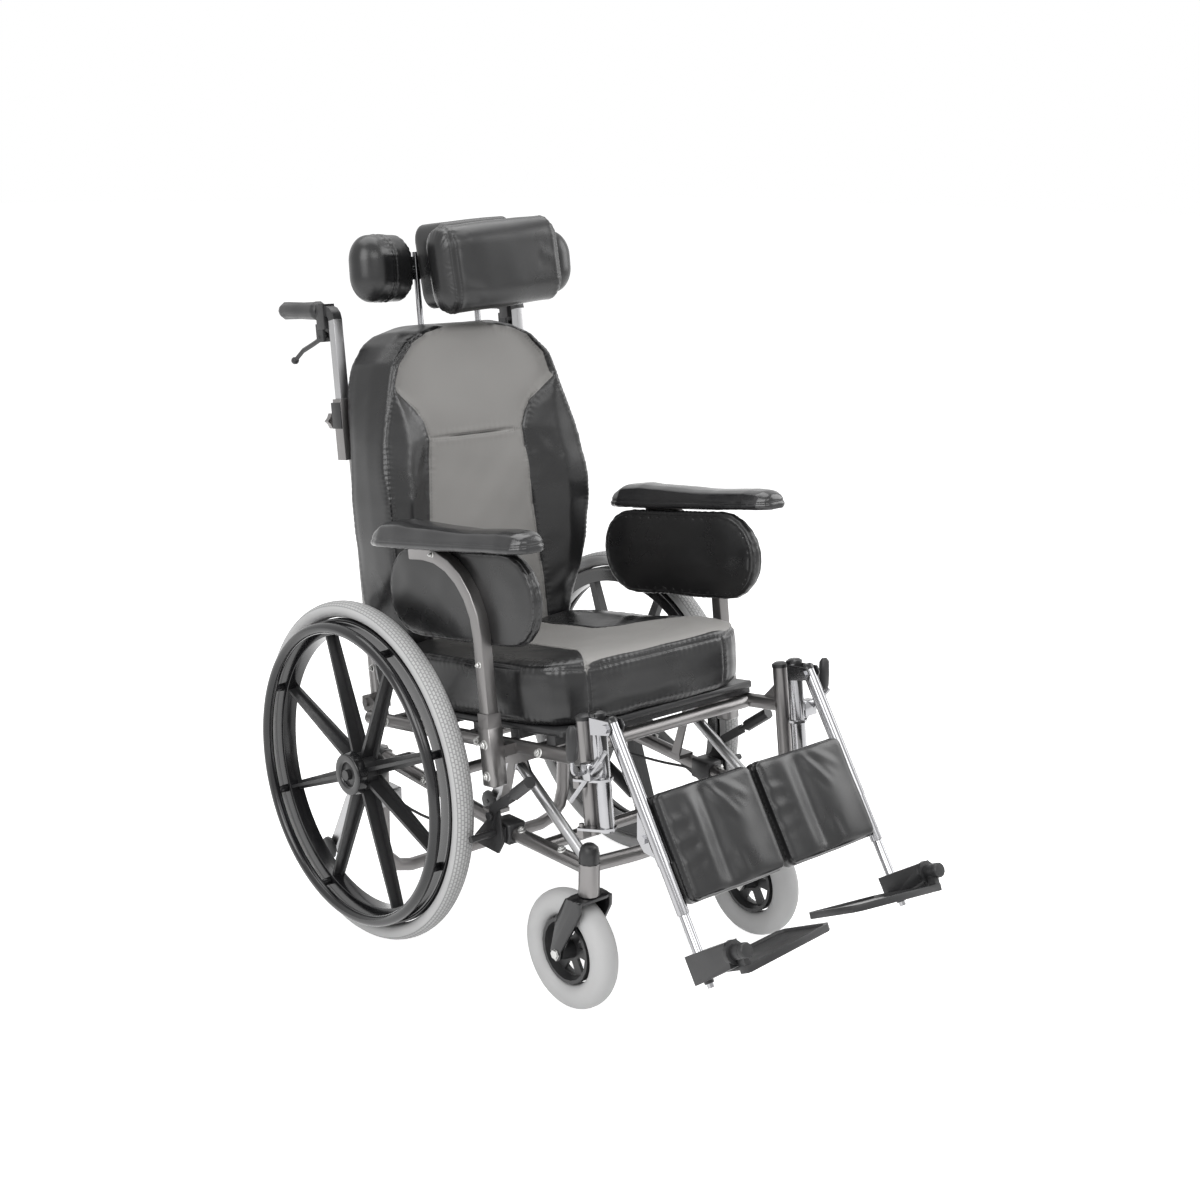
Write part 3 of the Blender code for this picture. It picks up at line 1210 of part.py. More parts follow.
def back_cushion(back):
    """Contoured back cushion: sewn shield panel between side bolsters, deep sides, wells for the headrest."""
    levels = (0.030, 0.044, 0.095, 0.150, 0.200, 0.255, 0.310, 0.365, 0.420, 0.466, 0.470, 0.474, 0.500,
              0.524,
              0.566, 0.605, 0.640, 0.655, 0.664)
    rear = -CANE_SIZE / 2 - TOUCH
    front = rear - BACK_THICKNESS + 0.013
    face = []
    for z in levels:
        edge = back_seam_half_width(z)
        seam = back_panel_edge(z)
        rim_drop = 0.007 * max(0.0, (z - 0.640) / 0.024) ** 2 + 0.010 * max(0.0, (0.045 - z) / 0.015)
        row = []
        for column, x in enumerate(sewn_row(edge, seam)):
            share = max(0.0, (abs(x) - seam) / max(0.001, edge - seam))
            rise = back_bolster(z) * sin(min(1.0, share * 1.15) * pi / 2) - 0.006 * max(0.0,
                                                                                        share - 0.85) / 0.15
            groove = SEAM_DEPTH if column in (3, 9) and edge - seam > 0.018 else 0.0
            if z == 0.470 and abs(x) < seam + 0.001:
                groove = SEAM_DEPTH
            crown = 0.005 * max(0.0, 1.0 - (x / seam) ** 2)
            row.append((x, front - rise - crown + groove + rim_drop, z))
        face.append(row)
    rim = [face[i][j] for i, j in border(len(levels) - 1, len(face[0]) - 1)]
    loops = []
    boxing = ((0.04, -0.0020), (0.09, 0.0020), (0.40, 0.0050), (0.75, 0.0040), (0.93, 0.0), (1.0, -0.010))
    for share, swell in boxing:
        loop = []
        for x, y, z in rim:
            ratio = back_rear_half_width(z) / back_seam_half_width(z)
            rear_x = x * ratio
            rear_z = z + 0.003 if z > 0.660 else z
            out = swell * (1.0 if x > 0 else -1.0) * min(1.0, abs(x) / 0.08)
            lift = swell if z > 0.650 else -swell if z < 0.045 else 0.0
            loop.append((x + (rear_x - x) * share + out, y + (rear - y) * share,
                         z + (rear_z - z) * share + lift))
        loops.append(loop)
    shape = quilted(face, loops)
    wells = [slip_z(HEADREST_POST_RADIUS, HEADREST_OFFSET + way * HEADREST_POST_X, HEADREST_POST_Y,
                    *HEADREST_WELL)
             for way in (1.0, -1.0)]
    return node("back_cushion", cut(shape, *wells), "black_leather", back)


def push_handle(name, side, axis):
    """Square handle tube that slides in its socket, bent back into a round grip, with the lever's clamp."""
    low = CANE_TOP - HANDLE_INSERT
    top = HANDLE_TOP
    path = filleted([(HANDLE_X, 0.0, low), (HANDLE_X, 0.0, top), (HANDLE_X, 0.060, top + 0.004)], 0.016, 3)
    post = swept(path, rectangle(HANDLE_TUBE, HANDLE_TUBE), up=(1.0, 0.0, 0.0))
    rise = Vector((0.0, 1.0, 0.05)).normalized()
    start = Vector((HANDLE_X, 0.044, top + 0.003))
    radii = ((0.0, 0.0125), (0.006, 0.0175), (0.014, GRIP_RADIUS), (0.060, GRIP_RADIUS - 0.001),
             (GRIP_LENGTH - 0.012, GRIP_RADIUS), (GRIP_LENGTH, GRIP_RADIUS - 0.005))
    rings = []
    for distance, radius in radii:
        point = start + rise * distance
        rings.append([point + Vector((u, -v * rise.z, v * rise.y)) for u, v in circle(radius, 10)])
    grip = skinned(rings)
    clamp = block((HANDLE_X - 0.0125, 0.018, top - 0.030), (HANDLE_X + 0.0125, 0.042, top + 0.014))
    ears = [block((HANDLE_X + a, 0.026, top - 0.052), (HANDLE_X + b, 0.048, top - 0.020))
            for a, b in ((-0.0115, -0.0055), (0.0055, 0.0115))]
    pin = rod_x(0.003, HANDLE_X - 0.0125, HANDLE_X + 0.0125, LEVER_PIVOT_Y, top + LEVER_PIVOT_DROP)
    return node(name, sided(welded(post, grip, clamp, *ears, pin), side), "black_plastic", axis)


def brake_lever(name, side, axis):
    """Curved attendant brake lever with a ball end."""
    path = [(0.0, -0.006, 0.006), (0.0, 0.012, -0.003), (0.0, 0.040, -0.012), (0.0, 0.075, -0.022),
            (0.0, 0.104, -0.038)]
    blade = swept(path, rectangle(0.009, 0.008, 0.0035, 1), up=(1.0, 0.0, 0.0))
    ball = stacked_z([(-0.0065, 0.003), (-0.004, 0.006), (0.0, 0.0075), (0.004, 0.006), (0.0065, 0.003)], 10,
                     (0.0, 0.106, -0.039))
    hole = hole_x(0.003, -0.02, 0.02, 0.0, 0.0)
    return node(name, sided(cut(welded(blade, ball), hole), side), "black_plastic", axis)


# Headrest
def headrest_stem(axis):
    """Two posts joined by a cross plate that carries the pads and the wings' hinge barrels."""
    y = HEADREST_POST_Y
    low, high = HEADREST_MIDDLE - 0.022, HEADREST_MIDDLE + 0.022
    posts = [rod_z(HEADREST_POST_RADIUS, way * HEADREST_POST_X, y, 0.560, HEADREST_MIDDLE + 0.028)
             for way in (1.0, -1.0)]
    centre = HEAD_PLATE_OFFSET
    plate = block((centre - WING_HINGE_X + 0.002, y + 0.0035, low + 0.002),
                  (centre + WING_HINGE_X - 0.002, y + 0.0075, high - 0.002))
    barrels = [rod_z(0.005, centre + way * WING_HINGE_X, WING_HINGE_Y, low, high) for way in (1.0, -1.0)]
    axle = rod_x(0.004, centre - 0.086, centre + 0.086, y + 0.001, HEADREST_MIDDLE)
    return node("headrest_stem", welded(*posts, plate, *barrels, axle), "chrome", axis)


def headrest_pillow(axis):
    """Front pillow joined to the thinner pad behind it, which is held on the stem's cross rod."""
    rear_face = -0.0065
    rear_thickness = 0.090
    rear = upright(pad(0.170, 0.150, rear_thickness, 0.030, 0.012, 0.0, 0.0, 2))
    moved(rear, (0.0, rear_face - rear_thickness / 2, 0.004))
    thickness = PILLOW_THICKNESS - 0.010
    front = upright(pad(PILLOW_WIDTH, PILLOW_HEIGHT, thickness, 0.042, 0.030, 0.006, 0.004, 4,
                        SEAM_DEPTH * 0.6))
    front_y = rear_face - rear_thickness + 0.006 - thickness / 2
    moved(front, (0.0, front_y, -0.004))
    whole = welded(front, rear)
    whole.transform(Matrix.Rotation(radians(-PILLOW_ROLL), 4, "Y"))
    return node("headrest_pillow", whole, "black_leather", axis)


def headrest_wing(name, side, axis):
    """Side wing: fat round cushion with its hinge leaf sunk in its inner end."""
    cushion = upright(pad(WING_WIDTH, WING_HEIGHT, WING_THICKNESS - 0.006, 0.040, 0.024, 0.006, 0.0, 4,
                          SEAM_DEPTH * 0.6))
    moved(cushion, (WING_WIDTH / 2 + 0.009, -WING_OFFSET, 0.0))
    leaf = block((0.0054, -0.0018, -0.018), (0.045, 0.0018, 0.018))
    return node(name, sided(welded(cushion, leaf), side), "black_leather", axis)


# Armrests
def armrest_post(name, side, axis):
    """Square tube that rises from its socket and bends back under the armpad, with the pad's strip."""
    x = ARM_POST_X
    path = filleted(
        [(x, ARM_POST_Y, ARM_SOCKET_BOTTOM + 0.008), (x, ARM_POST_Y, ARM_TUBE_TOP), (x, 0.142, ARM_TUBE_TOP)],
        ARM_BEND, 6,
    )
    post = swept(path, rectangle(ARM_TUBE, ARM_TUBE), up=(1.0, 0.0, 0.0))
    top = ARM_TUBE_TOP + ARM_TUBE / 2
    strip = block((x - 0.016, -0.062, top - 0.0024), (x + 0.016, 0.172, top))
    return node(name, sided(welded(post, strip), side), "gunmetal", axis)


def armpad(name, side, axis):
    """Moulded armpad: lipped base, sides that slope in, a saddle along its top and blunt round ends."""
    low = ARM_TUBE_TOP + ARM_TUBE / 2 + TOUCH
    length = ARMPAD_REAR - ARMPAD_FRONT
    rings = []
    for share, wide, tall in ((0.0, 0.42, 0.35), (0.012, 0.62, 0.60), (0.05, 0.86, 0.74), (0.13, 0.94, 0.80),
                              (0.34, 0.97, 0.76), (0.60, 1.0, 0.88), (0.80, 1.0, 1.0), (0.92, 0.97, 0.93),
                              (0.98, 0.80, 0.66), (1.0, 0.66, 0.40)):
        y = ARMPAD_FRONT + length * share
        half = ARMPAD_WIDTH / 2 * wide
        height = ARMPAD_THICKNESS * tall
        lip = min(0.012, height * 0.5)
        profile = ((-half * 0.90, 0.0), (-half, 0.003), (-half, lip), (-half * 0.93, lip + 0.002),
                   (-half * 0.74, height * 0.86), (-half * 0.38, height * 0.98), (0.0, height))
        ring = [*profile, *[(-x, z) for x, z in reversed(profile[:-1])]]
        rings.append([(ARM_POST_X + 0.002 + x, y, low + z) for x, z in ring])
    return node(name, sided(skinned(rings), side), "gloss_black", axis)


def side_pad(name, side, axis):
    """Upright side panel inside the arm tube, with round corners and a padded inner face."""
    length = SIDE_PAD_REAR - SIDE_PAD_FRONT
    top = ARM_TUBE_TOP + ARM_TUBE / 2 - 0.004
    height = top - SIDE_PAD_BOTTOM
    shape = pad(length, height, SIDE_PAD_THICKNESS - 0.006, 0.076, 0.009, 0.006, 0.0, 5, SEAM_DEPTH * 0.6)
    upright(shape)
    shape.transform(Matrix.Rotation(radians(-90.0), 4, "Z"))
    outer = ARM_POST_X - ARM_TUBE / 2 - TOUCH
    middle = (SIDE_PAD_REAR + SIDE_PAD_FRONT) / 2
    moved(shape, (outer - (SIDE_PAD_THICKNESS - 0.006) / 2, middle, (top + SIDE_PAD_BOTTOM) / 2))
    return node(name, sided(shape, side), "black_leather", axis)


# Legrests: drawn about the swing pin, about the knee pivot, and about the footplate hinge
def leg_hanger(name, side, axis):
    """Chrome swing tube with its two hook plates, the knee clevis and the elevation lock."""
    tube_x = POST_X - SWING_PIN_X
    tube_y = SWING_TUBE_Y - POST_Y
    bottom = SWING_PLATE_HEIGHTS[1] - 0.003
    post = rod_z(FRAME_TUBE, tube_x, tube_y, bottom, SWING_TUBE_TOP)
    cap = stacked_z([(-0.002, FRAME_TUBE + 0.001), (0.003, FRAME_TUBE + 0.001), (0.006, FRAME_TUBE * 0.7)], 8,
                    (tube_x, tube_y, SWING_TUBE_TOP))
    plates = []
    for height in SWING_PLATE_HEIGHTS:
        outline = tangent_outline((0.0, 0.0), 0.0079, (tube_x, tube_y), 0.017, 3)
        plate = plate_xy(outline, height, height + SWING_PLATE)
        frame_post = rod_z(FRAME_TUBE + 0.0012, tube_x, 0.0, height - 0.01, height + 0.02)
        hole = hole_z(0.004, 0.0, 0.0, height - 0.01, height + 0.02)
        plates.append(cut(plate, frame_post, hole))
    cheek_from = LEG_TUBE_RADIUS + 0.0005
    pivot_y = LEG_PIVOT_Y - POST_Y
    cheeks = []
    for way in (1.0, -1.0):
        outline = [(tube_y + 0.004, LEG_PIVOT_Z - 0.014), (pivot_y - 0.006, LEG_PIVOT_Z - 0.010),
                   (pivot_y - 0.011, LEG_PIVOT_Z), (pivot_y - 0.006, LEG_PIVOT_Z + 0.011),
                   (tube_y + 0.004, LEG_PIVOT_Z + 0.013)]
        low, high = sorted((way * cheek_from, way * (cheek_from + 0.003)))
        cheeks.append(plate_yz(outline, tube_x + low, tube_x + high))
    bolt = rod_x(0.004, tube_x - 0.018, tube_x + 0.018, pivot_y, LEG_PIVOT_Z)
    heads = [rod_x(0.007, *sorted((tube_x + way * 0.0145, tube_x + way * 0.0185)), pivot_y, LEG_PIVOT_Z, 6)
             for way in (1.0, -1.0)]
    lock = block((tube_x + 0.0065, tube_y - 0.012, -0.0045), (LOCK_ROD_X + 0.006, tube_y + 0.010, 0.022),
                 0.002)
    rod = tube([(LOCK_ROD_X, -0.082, 0.046), (LOCK_ROD_X, 0.010, -0.044)], 0.0038)
    hanger = welded(post, cap, *plates, *cheeks, bolt, *heads, lock, rod)
    return node(name, sided(hanger, side), "chrome", axis)


def release_lever(name, side, axis):
    """Bent release rod with an upright grip, turning on the side of the elevation lock."""
    start = LOCK_ROD_X + 0.006 + TOUCH
    path = filleted([(start, 0.0, 0.0), (0.041, 0.0, 0.0), (0.041, -0.004, 0.040)], 0.012, 3)
    rod = tube(path, 0.0034, up=(0.0, 1.0, 0.0))
    rings = []
    grip = ((0.022, 0.005), (0.026, 0.0085), (0.050, 0.0095), (0.072, 0.0085), (0.078, 0.0045))
    for distance, radius in grip:
        rings.append([(0.041 + u, -0.1 * distance + v, distance) for u, v in circle(radius)])
    return node(name, sided(welded(rod, skinned(rings)), side), "black_plastic", axis)


def leg_upper(name, side, axis):
    """Outer leg tube with its cap and inner sleeve, and the plate that carries the calf pad."""
    outer = rod_z(LEG_TUBE_RADIUS, 0.0, 0.0, -LEG_UPPER_LENGTH, 0.008)
    sleeve = rod_z(LEG_SLEEVE_RADIUS, 0.0, 0.0, -LEG_SLEEVE_LENGTH, -LEG_UPPER_LENGTH + 0.004)
    cap = stacked_z([(0.005, LEG_TUBE_RADIUS + 0.0004), (0.013, LEG_TUBE_RADIUS), (0.016, 0.0075)], 8,
                    (0.0, 0.0, 0.0))
    bore_top = -LEG_SLEEVE_LENGTH + LEG_INSERT + 0.026
    bore = slip_z(LEG_INNER_RADIUS, 0.0, 0.0, -LEG_SLEEVE_LENGTH - 0.01, bore_top)
    hole = hole_x(0.004, -0.03, 0.03, 0.0, 0.0)
    cut_tube = cut(welded(outer, sleeve, cap), bore, hole)
    inner = -LEG_TUBE_RADIUS
    plate = plate_yz(
        [(-0.004, -0.128), (-0.006, -0.222), (0.014, -0.216), (0.046, -0.190), (0.050, -0.168),
         (0.028, -0.132)],
        inner, inner + 0.003,
    )
    pin = rod_x(0.0045, CALF_EAR_X - 0.008, inner + 0.006, CALF_PIVOT_Y, CALF_PIVOT_Z)
    head = rod_x(0.0075, inner + 0.0025, inner + 0.007, CALF_PIVOT_Y, CALF_PIVOT_Z, 6)
    shape = welded(cut_tube, plate, pin, head)
    return node(name, sided(shape, side), "chrome", axis)


def calf_pad(name, side, axis):
    """Padded calf support with upright channels, on a backing plate with an ear on the pivot bolt."""
    outer = -LEG_TUBE_RADIUS - 0.002
    inner = -LEG_X + MIDLINE_GAP
    width = outer - inner
    base_thickness = CALF_PAD_THICKNESS - 0.006
    front_y = -0.022
    middle = (outer + inner) / 2
    face = []
    foot = CALF_PAD_TOP - CALF_PAD_HEIGHT
    heights = ((CALF_PAD_TOP, 0.7), (CALF_PAD_TOP - 0.008, 0.05), (CALF_PAD_TOP - CALF_PAD_HEIGHT / 2, 0.0),
               (foot + 0.008, 0.05), (foot, 0.7))
    for z, ease in heights:
        row = []
        for share, depth in CALF_PROFILE:
            row.append((middle + share * width / 2, front_y + depth + 0.006 * ease, z))
        face.append(row)
    rim = [face[i][j] for i, j in border(len(face) - 1, len(face[0]) - 1)]
    centre_z = CALF_PAD_TOP - CALF_PAD_HEIGHT / 2
    loops = []
    for back_off, grow in ((0.010, 0.0), (base_thickness - 0.006, 0.0), (base_thickness, -0.006)):
        loop = []
        for x, y, z in rim:
            grown_x = x + (grow if x > middle else -grow) * (1.0 if abs(x - middle) > width * 0.3 else 0.0)
            grown_z = z + (grow if z > centre_z else -grow) * (1.0 if abs(z - centre_z) > 0.04 else 0.0)
            loop.append((grown_x, front_y + back_off, grown_z))
        loops.append(loop)
    shape = quilted(face, loops)
    rear = front_y + base_thickness
    plate = block((inner + 0.020, rear - 0.003, CALF_PAD_TOP - CALF_PAD_HEIGHT + 0.025),
                  (outer - 0.012, rear + 0.003, CALF_PAD_TOP - 0.025))
    ear = plate_yz(
        [(rear - 0.003, CALF_PIVOT_Z - 0.020), (CALF_PIVOT_Y + 0.004, CALF_PIVOT_Z - 0.011),
         (CALF_PIVOT_Y + 0.011, CALF_PIVOT_Z), (CALF_PIVOT_Y + 0.004, CALF_PIVOT_Z + 0.011),
         (rear - 0.003, CALF_PIVOT_Z + 0.020)],
        CALF_EAR_X - 0.003, CALF_EAR_X,
    )
    hole = hole_x(0.0045, CALF_EAR_X - 0.02, CALF_EAR_X + 0.02, CALF_PIVOT_Y, CALF_PIVOT_Z)
    shape = moved(cut(welded(shape, plate, ear), hole), (0.0, -CALF_PIVOT_Y, -CALF_PIVOT_Z))
    return node(name, sided(shape, side), "black_leather", axis)


def leg_lower(name, side, axis):
    """Inner leg tube that slides in the sleeve, with the black footplate bracket and its end bolt."""
    inner = rod_z(LEG_INNER_RADIUS, 0.0, 0.0, -LEG_INNER_END, -LEG_SLEEVE_LENGTH + LEG_INSERT)
    bolt = rod_z(0.0055, 0.0, 0.0, -LEG_INNER_END - 0.007, -LEG_INNER_END + 0.001, 8)
    rear_face = [(x, 0.016, z) for x, z in ((0.0145, -0.356), (-0.0145, -0.356), (-0.0145, -0.401),
                                            (0.0145, -0.401))]
    hinge = Vector((0.0, FOOT_HINGE_Y, FOOT_HINGE_Z))
    slope = radians(LEG_ANGLE + SEAT_TILT - FOOT_LEVEL)
    up = Vector((0.0, -sin(slope), cos(slope)))
    front_face = [tuple(hinge + Vector((x, 0.0, 0.0)) + up * z)
                  for x, z in ((0.0135, 0.017), (-0.0135, 0.017), (-0.0135, -0.021), (0.0135, -0.021))]
    box = skinned([rear_face, front_face])
    ahead = Vector((0.0, -cos(slope), -sin(slope)))
    rings = []
    for distance, radius in ((-0.004, 0.0185), (0.004, 0.0185), (0.0042, FOOT_PIN_RADIUS),
                             (0.0208, FOOT_PIN_RADIUS), (0.0210, FOOT_BARREL_RADIUS),
                             (0.0285, FOOT_BARREL_RADIUS), (0.0305, 0.0105)):
        point = hinge + ahead * distance
        rings.append([point + Vector((u, 0.0, 0.0)) + up * v for u, v in circle(radius, 12)])
    barrel = skinned(rings)
    return node(name, sided(welded(inner, bolt, box, barrel), side), "black_plastic", axis)


def footplate(name, side, axis):
    """Moulded footplate: raised rim, tapered outline, and a ring that turns on the bracket's barrel."""
    ring_from, ring_to = -0.0205, -0.0045
    bore = (FOOT_PIN_RADIUS + RUNNING) / cos(pi / 12)
    ring = ((ring_from, bore), (ring_from, FOOT_BARREL_RADIUS), (ring_to, FOOT_BARREL_RADIUS),
            (ring_to, bore))
    rings = []
    for index in range(12):
        angle = 2 * pi * index / 12
        rings.append([(r * cos(angle), y, r * sin(angle)) for y, r in ring])
    collar = skinned(rings, closed=True)
    inner_x = -FOOTPLATE_LENGTH
    beside_bracket = -0.0170
    front = -0.024
    rear = front + FOOTPLATE_DEPTH + 0.006
    outline = [(0.004, front + 0.004), (0.0, front), (inner_x + 0.012, front + 0.006),
               (inner_x, front + 0.016),
               (inner_x, rear - 0.010), (inner_x + 0.010, rear), (beside_bracket - 0.014, rear),
               (beside_bracket, rear - 0.012), (beside_bracket, -0.0052), (0.004, -0.0052)]
    top = -FOOTPLATE_DROP
    low = top - FOOTPLATE_THICKNESS
    slab = plate_xy(outline, low, top)
    middle = Vector(((inner_x + beside_bracket) / 2, (front + rear) / 2))
    recess = [(middle.x + (x - middle.x) * 0.94, middle.y + (y - middle.y) * 0.90)
              for x, y in ((beside_bracket - 0.004, front), *outline[2:7],
                           (beside_bracket - 0.004, rear - 0.014))]
    tray = cut(slab, plate_xy(recess, top - 0.004, top + 0.01))
    link = block((-0.0075, ring_from + 0.0004, top - 0.006), (0.0032, ring_to - 0.0008, -0.0096))
    shape = welded(tray, link, collar)
    shape.transform(Matrix.Rotation(radians(FOOTPLATE_LIFT[name.rsplit("_", 1)[1]]), 4, "Y"))
    return node(name, sided(shape, side), "black_plastic", axis)


# Assembly
def build_base(chair):
    base_frame(chair)
    for name, side in SIDES:
        rear_axle(f"rear_axle_{name}", side, chair)
        brake_mount(f"brake_mount_{name}", side, chair)
        brake_cable(f"brake_cable_{name}", side, chair)
        anti_tip_arm(f"anti_tip_arm_{name}", side, chair)
        rear = axis_empty(f"rear_wheel_axis_{name}", chair, (side * REAR_WHEEL_X, 0.0, REAR_WHEEL_RADIUS))
        rear_tyre(f"rear_tyre_{name}", side, rear)
        rear_wheel(f"rear_wheel_{name}", side, rear)
        handrim(f"handrim_{name}", side, rear)
        swivel = axis_empty(f"caster_swivel_axis_{name}", chair, (side * CASTER_X, CASTER_STEM_Y, 0.0))
        caster_fork(f"caster_fork_{name}", side, swivel)
        spin = axis_empty(f"caster_spin_axis_{name}", swivel, (0.0, CASTER_TRAIL, CASTER_RADIUS))
        caster_tyre(f"caster_tyre_{name}", side, spin)
        caster_hub(f"caster_hub_{name}", side, spin)
        brake = axis_empty(f"parking_brake_axis_{name}", chair, (0.0, BRAKE_PIVOT_Y, BRAKE_PIVOT_Z))
        parking_brake_lever(f"parking_brake_lever_{name}", side, brake)
        roller = (side * ANTI_TIP_X, ANTI_TIP_AXLE_Y, ANTI_TIP_AXLE_Z)
        anti_tip_wheels(f"anti_tip_wheels_{name}", side, axis_empty(f"anti_tip_axis_{name}", chair, roller))
    spring = axis_empty("tilt_spring_axis", chair, (0.0, *TILT_SPRING_LOW), -tilt_spring_slope())
    tilt_spring_parts(spring, axis_empty("tilt_rod_slide", spring, (0.0, 0.0, 0.0)))


def build_seat(seat):
    seat_frame(seat)
    seat_board(seat)
    seat_cushion(seat)
    recline_spring_parts(seat, axis_empty("recline_rod_slide", seat, (0.0, 0.0, 0.0)))
    for name, side in SIDES:
        arm = axis_empty(f"armrest_slide_{name}", seat, (0.0, 0.0, 0.0))
        armrest_post(f"armrest_post_{name}", side, arm)
        armpad(f"armpad_{name}", side, arm)
        side_pad(f"side_pad_{name}", side, arm)


def build_back(back):
    back_frame(back)
    back_cushion(back)
    for name, side in SIDES:
        handle = axis_empty(f"handle_slide_{name}", back, (0.0, 0.0, 0.0))
        push_handle(f"push_handle_{name}", side, handle)
        lever_at = (side * HANDLE_X, LEVER_PIVOT_Y, HANDLE_TOP + LEVER_PIVOT_DROP)
        brake_lever(f"brake_lever_{name}", side, axis_empty(f"brake_lever_axis_{name}", handle, lever_at))
    head = axis_empty("headrest_slide", back, (HEADREST_OFFSET, 0.0, 0.0))
    headrest_stem(head)
    headrest_pillow(axis_empty("pillow_mount", head, (HEAD_PLATE_OFFSET, HEADREST_POST_Y, HEADREST_MIDDLE)))
    for name, side in SIDES:
        wing = axis_empty(f"wing_axis_{name}", head, (HEAD_PLATE_OFFSET + side * WING_HINGE_X, WING_HINGE_Y,
                                                      HEADREST_MIDDLE))
        wing.rotation_euler.z = radians(-side * WING_FORWARD)
        headrest_wing(f"headrest_wing_{name}", side, wing)


def build_legs(seat):
    for name, side in SIDES:
        swing = axis_empty(f"swing_axis_{name}", seat, (side * SWING_PIN_X, POST_Y, 0.0))
        leg_hanger(f"leg_hanger_{name}", side, swing)
        release = axis_empty(f"release_axis_{name}", swing, (0.0, RELEASE_Y, RELEASE_Z))
        release_lever(f"release_lever_{name}", side, release)
        knee_at = (side * (LEG_X - SWING_PIN_X), LEG_PIVOT_Y - POST_Y, LEG_PIVOT_Z)
        knee = axis_empty(f"knee_axis_{name}", swing, knee_at, LEG_ANGLE)
        leg_upper(f"leg_upper_{name}", side, knee)
        calf = axis_empty(f"calf_axis_{name}", knee, (0.0, CALF_PIVOT_Y, CALF_PIVOT_Z))
        calf_pad(f"calf_pad_{name}", side, calf)
        slide = axis_empty(f"leg_slide_{name}", knee, (0.0, 0.0, 0.0))
        leg_lower(f"leg_lower_{name}", side, slide)
        level = FOOT_LEVEL - LEG_ANGLE - SEAT_TILT
        foot = axis_empty(f"foot_axis_{name}", slide, (0.0, FOOT_HINGE_Y, FOOT_HINGE_Z), level)
        footplate(f"footplate_{name}", side, foot)


def main():
    clear_scene()
    chair = axis_empty("chair", None, (0.0, AXLE_BEHIND_ORIGIN, 0.0))
    build_base(chair)
    seat = axis_empty("tilt_axis", chair, (0.0, TILT_AXIS_Y, TILT_AXIS_Z), SEAT_TILT)
    build_seat(seat)
    build_legs(seat)
    build_back(axis_empty("back_axis", seat, (0.0, BACK_HINGE_Y, BACK_HINGE_Z), -BACK_LEAN))


main()
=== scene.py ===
import bpy
import bmesh
import json
import numpy as np
from math import cos, sin, pi, radians
from mathutils import Matrix, Vector
from mathutils.bvhtree import BVHTree
from mathutils.kdtree import KDTree


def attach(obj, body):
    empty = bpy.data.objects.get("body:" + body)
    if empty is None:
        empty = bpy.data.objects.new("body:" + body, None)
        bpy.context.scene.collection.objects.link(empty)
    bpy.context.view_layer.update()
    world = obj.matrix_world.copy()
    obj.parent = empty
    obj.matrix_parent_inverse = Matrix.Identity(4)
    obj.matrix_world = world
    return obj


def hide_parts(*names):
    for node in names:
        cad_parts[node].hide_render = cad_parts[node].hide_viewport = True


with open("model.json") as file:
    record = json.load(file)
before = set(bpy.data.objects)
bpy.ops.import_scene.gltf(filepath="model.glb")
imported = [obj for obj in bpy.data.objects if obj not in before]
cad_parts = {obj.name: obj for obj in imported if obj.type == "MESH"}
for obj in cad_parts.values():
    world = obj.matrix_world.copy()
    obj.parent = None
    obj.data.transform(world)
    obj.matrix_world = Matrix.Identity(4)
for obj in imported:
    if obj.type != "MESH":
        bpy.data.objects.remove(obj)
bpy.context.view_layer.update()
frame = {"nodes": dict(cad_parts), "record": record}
NODES = frame["nodes"]
SIDES = (("left", 1.0), ("right", -1.0))

# Places and sizes of the CAD that the looks follow, in metres
LEG_X = 0.222
CASTER_X, CASTER_Y, CASTER_RADIUS = 0.212, -0.212, 0.100
REAR_WHEEL_X, REAR_WHEEL_RADIUS = 0.308, 0.300
AXLE_Y = 0.235
RIM_SEAT_RADIUS = 0.2704
PUSH_RING_OFFSET, PUSH_RING_RADIUS, PUSH_RING_TUBE = 0.0365, 0.258, 0.0095
PUSH_RING_FEET = 8
BACK_HALF_WIDTH = 0.229
SEAT_HALF_WIDTH = 0.226
SEAT_TOP, BACK_FRONT = 0.1583, -0.112


# Local axes of the seat unit, the backrest and the legs
class Axes:
    """A unit's own axes: its joint is the origin, and it leans back by an angle about X."""

    def __init__(self, origin, degrees_back):
        self.origin = np.array(origin)
        self.c, self.s = cos(radians(degrees_back)), sin(radians(degrees_back))
        self.up = np.array([0.0, self.s, self.c])
        self.rear = np.array([0.0, self.c, -self.s])

    def local(self, points):
        d = np.asarray(points, float) - self.origin
        return np.stack([d[:, 0], d @ self.rear, d @ self.up], 1)

    def world(self, points):
        p = np.asarray(points, float)
        return p[:, :1] * np.array([1.0, 0.0, 0.0]) + p[:, 1:2] * self.rear + p[:, 2:] * self.up + self.origin


SEAT = Axes((0.0, -0.053, 0.392), 8.0)
BACK = Axes((0.0, 0.363, 0.3734), 7.0)
KNEE = Axes(SEAT.world([(0.0, -0.274, 0.076)])[0], 33.0)


# Materials
def shader(name, color, rough=0.5, metal=0.0, coat=0.0, coat_rough=0.1, spec=0.5):
    """A plain Principled material, to be finished by the functions below."""
    m = bpy.data.materials.new(name)
    m.use_nodes = True
    b = m.node_tree.nodes["Principled BSDF"]
    b.inputs["Base Color"].default_value = (*color, 1.0)
    b.inputs["Roughness"].default_value = rough
    b.inputs["Metallic"].default_value = metal
    b.inputs["Coat Weight"].default_value = coat
    b.inputs["Coat Roughness"].default_value = coat_rough
    b.inputs["Specular IOR Level"].default_value = spec
    m.diffuse_color = (*color, 1.0)
    return m


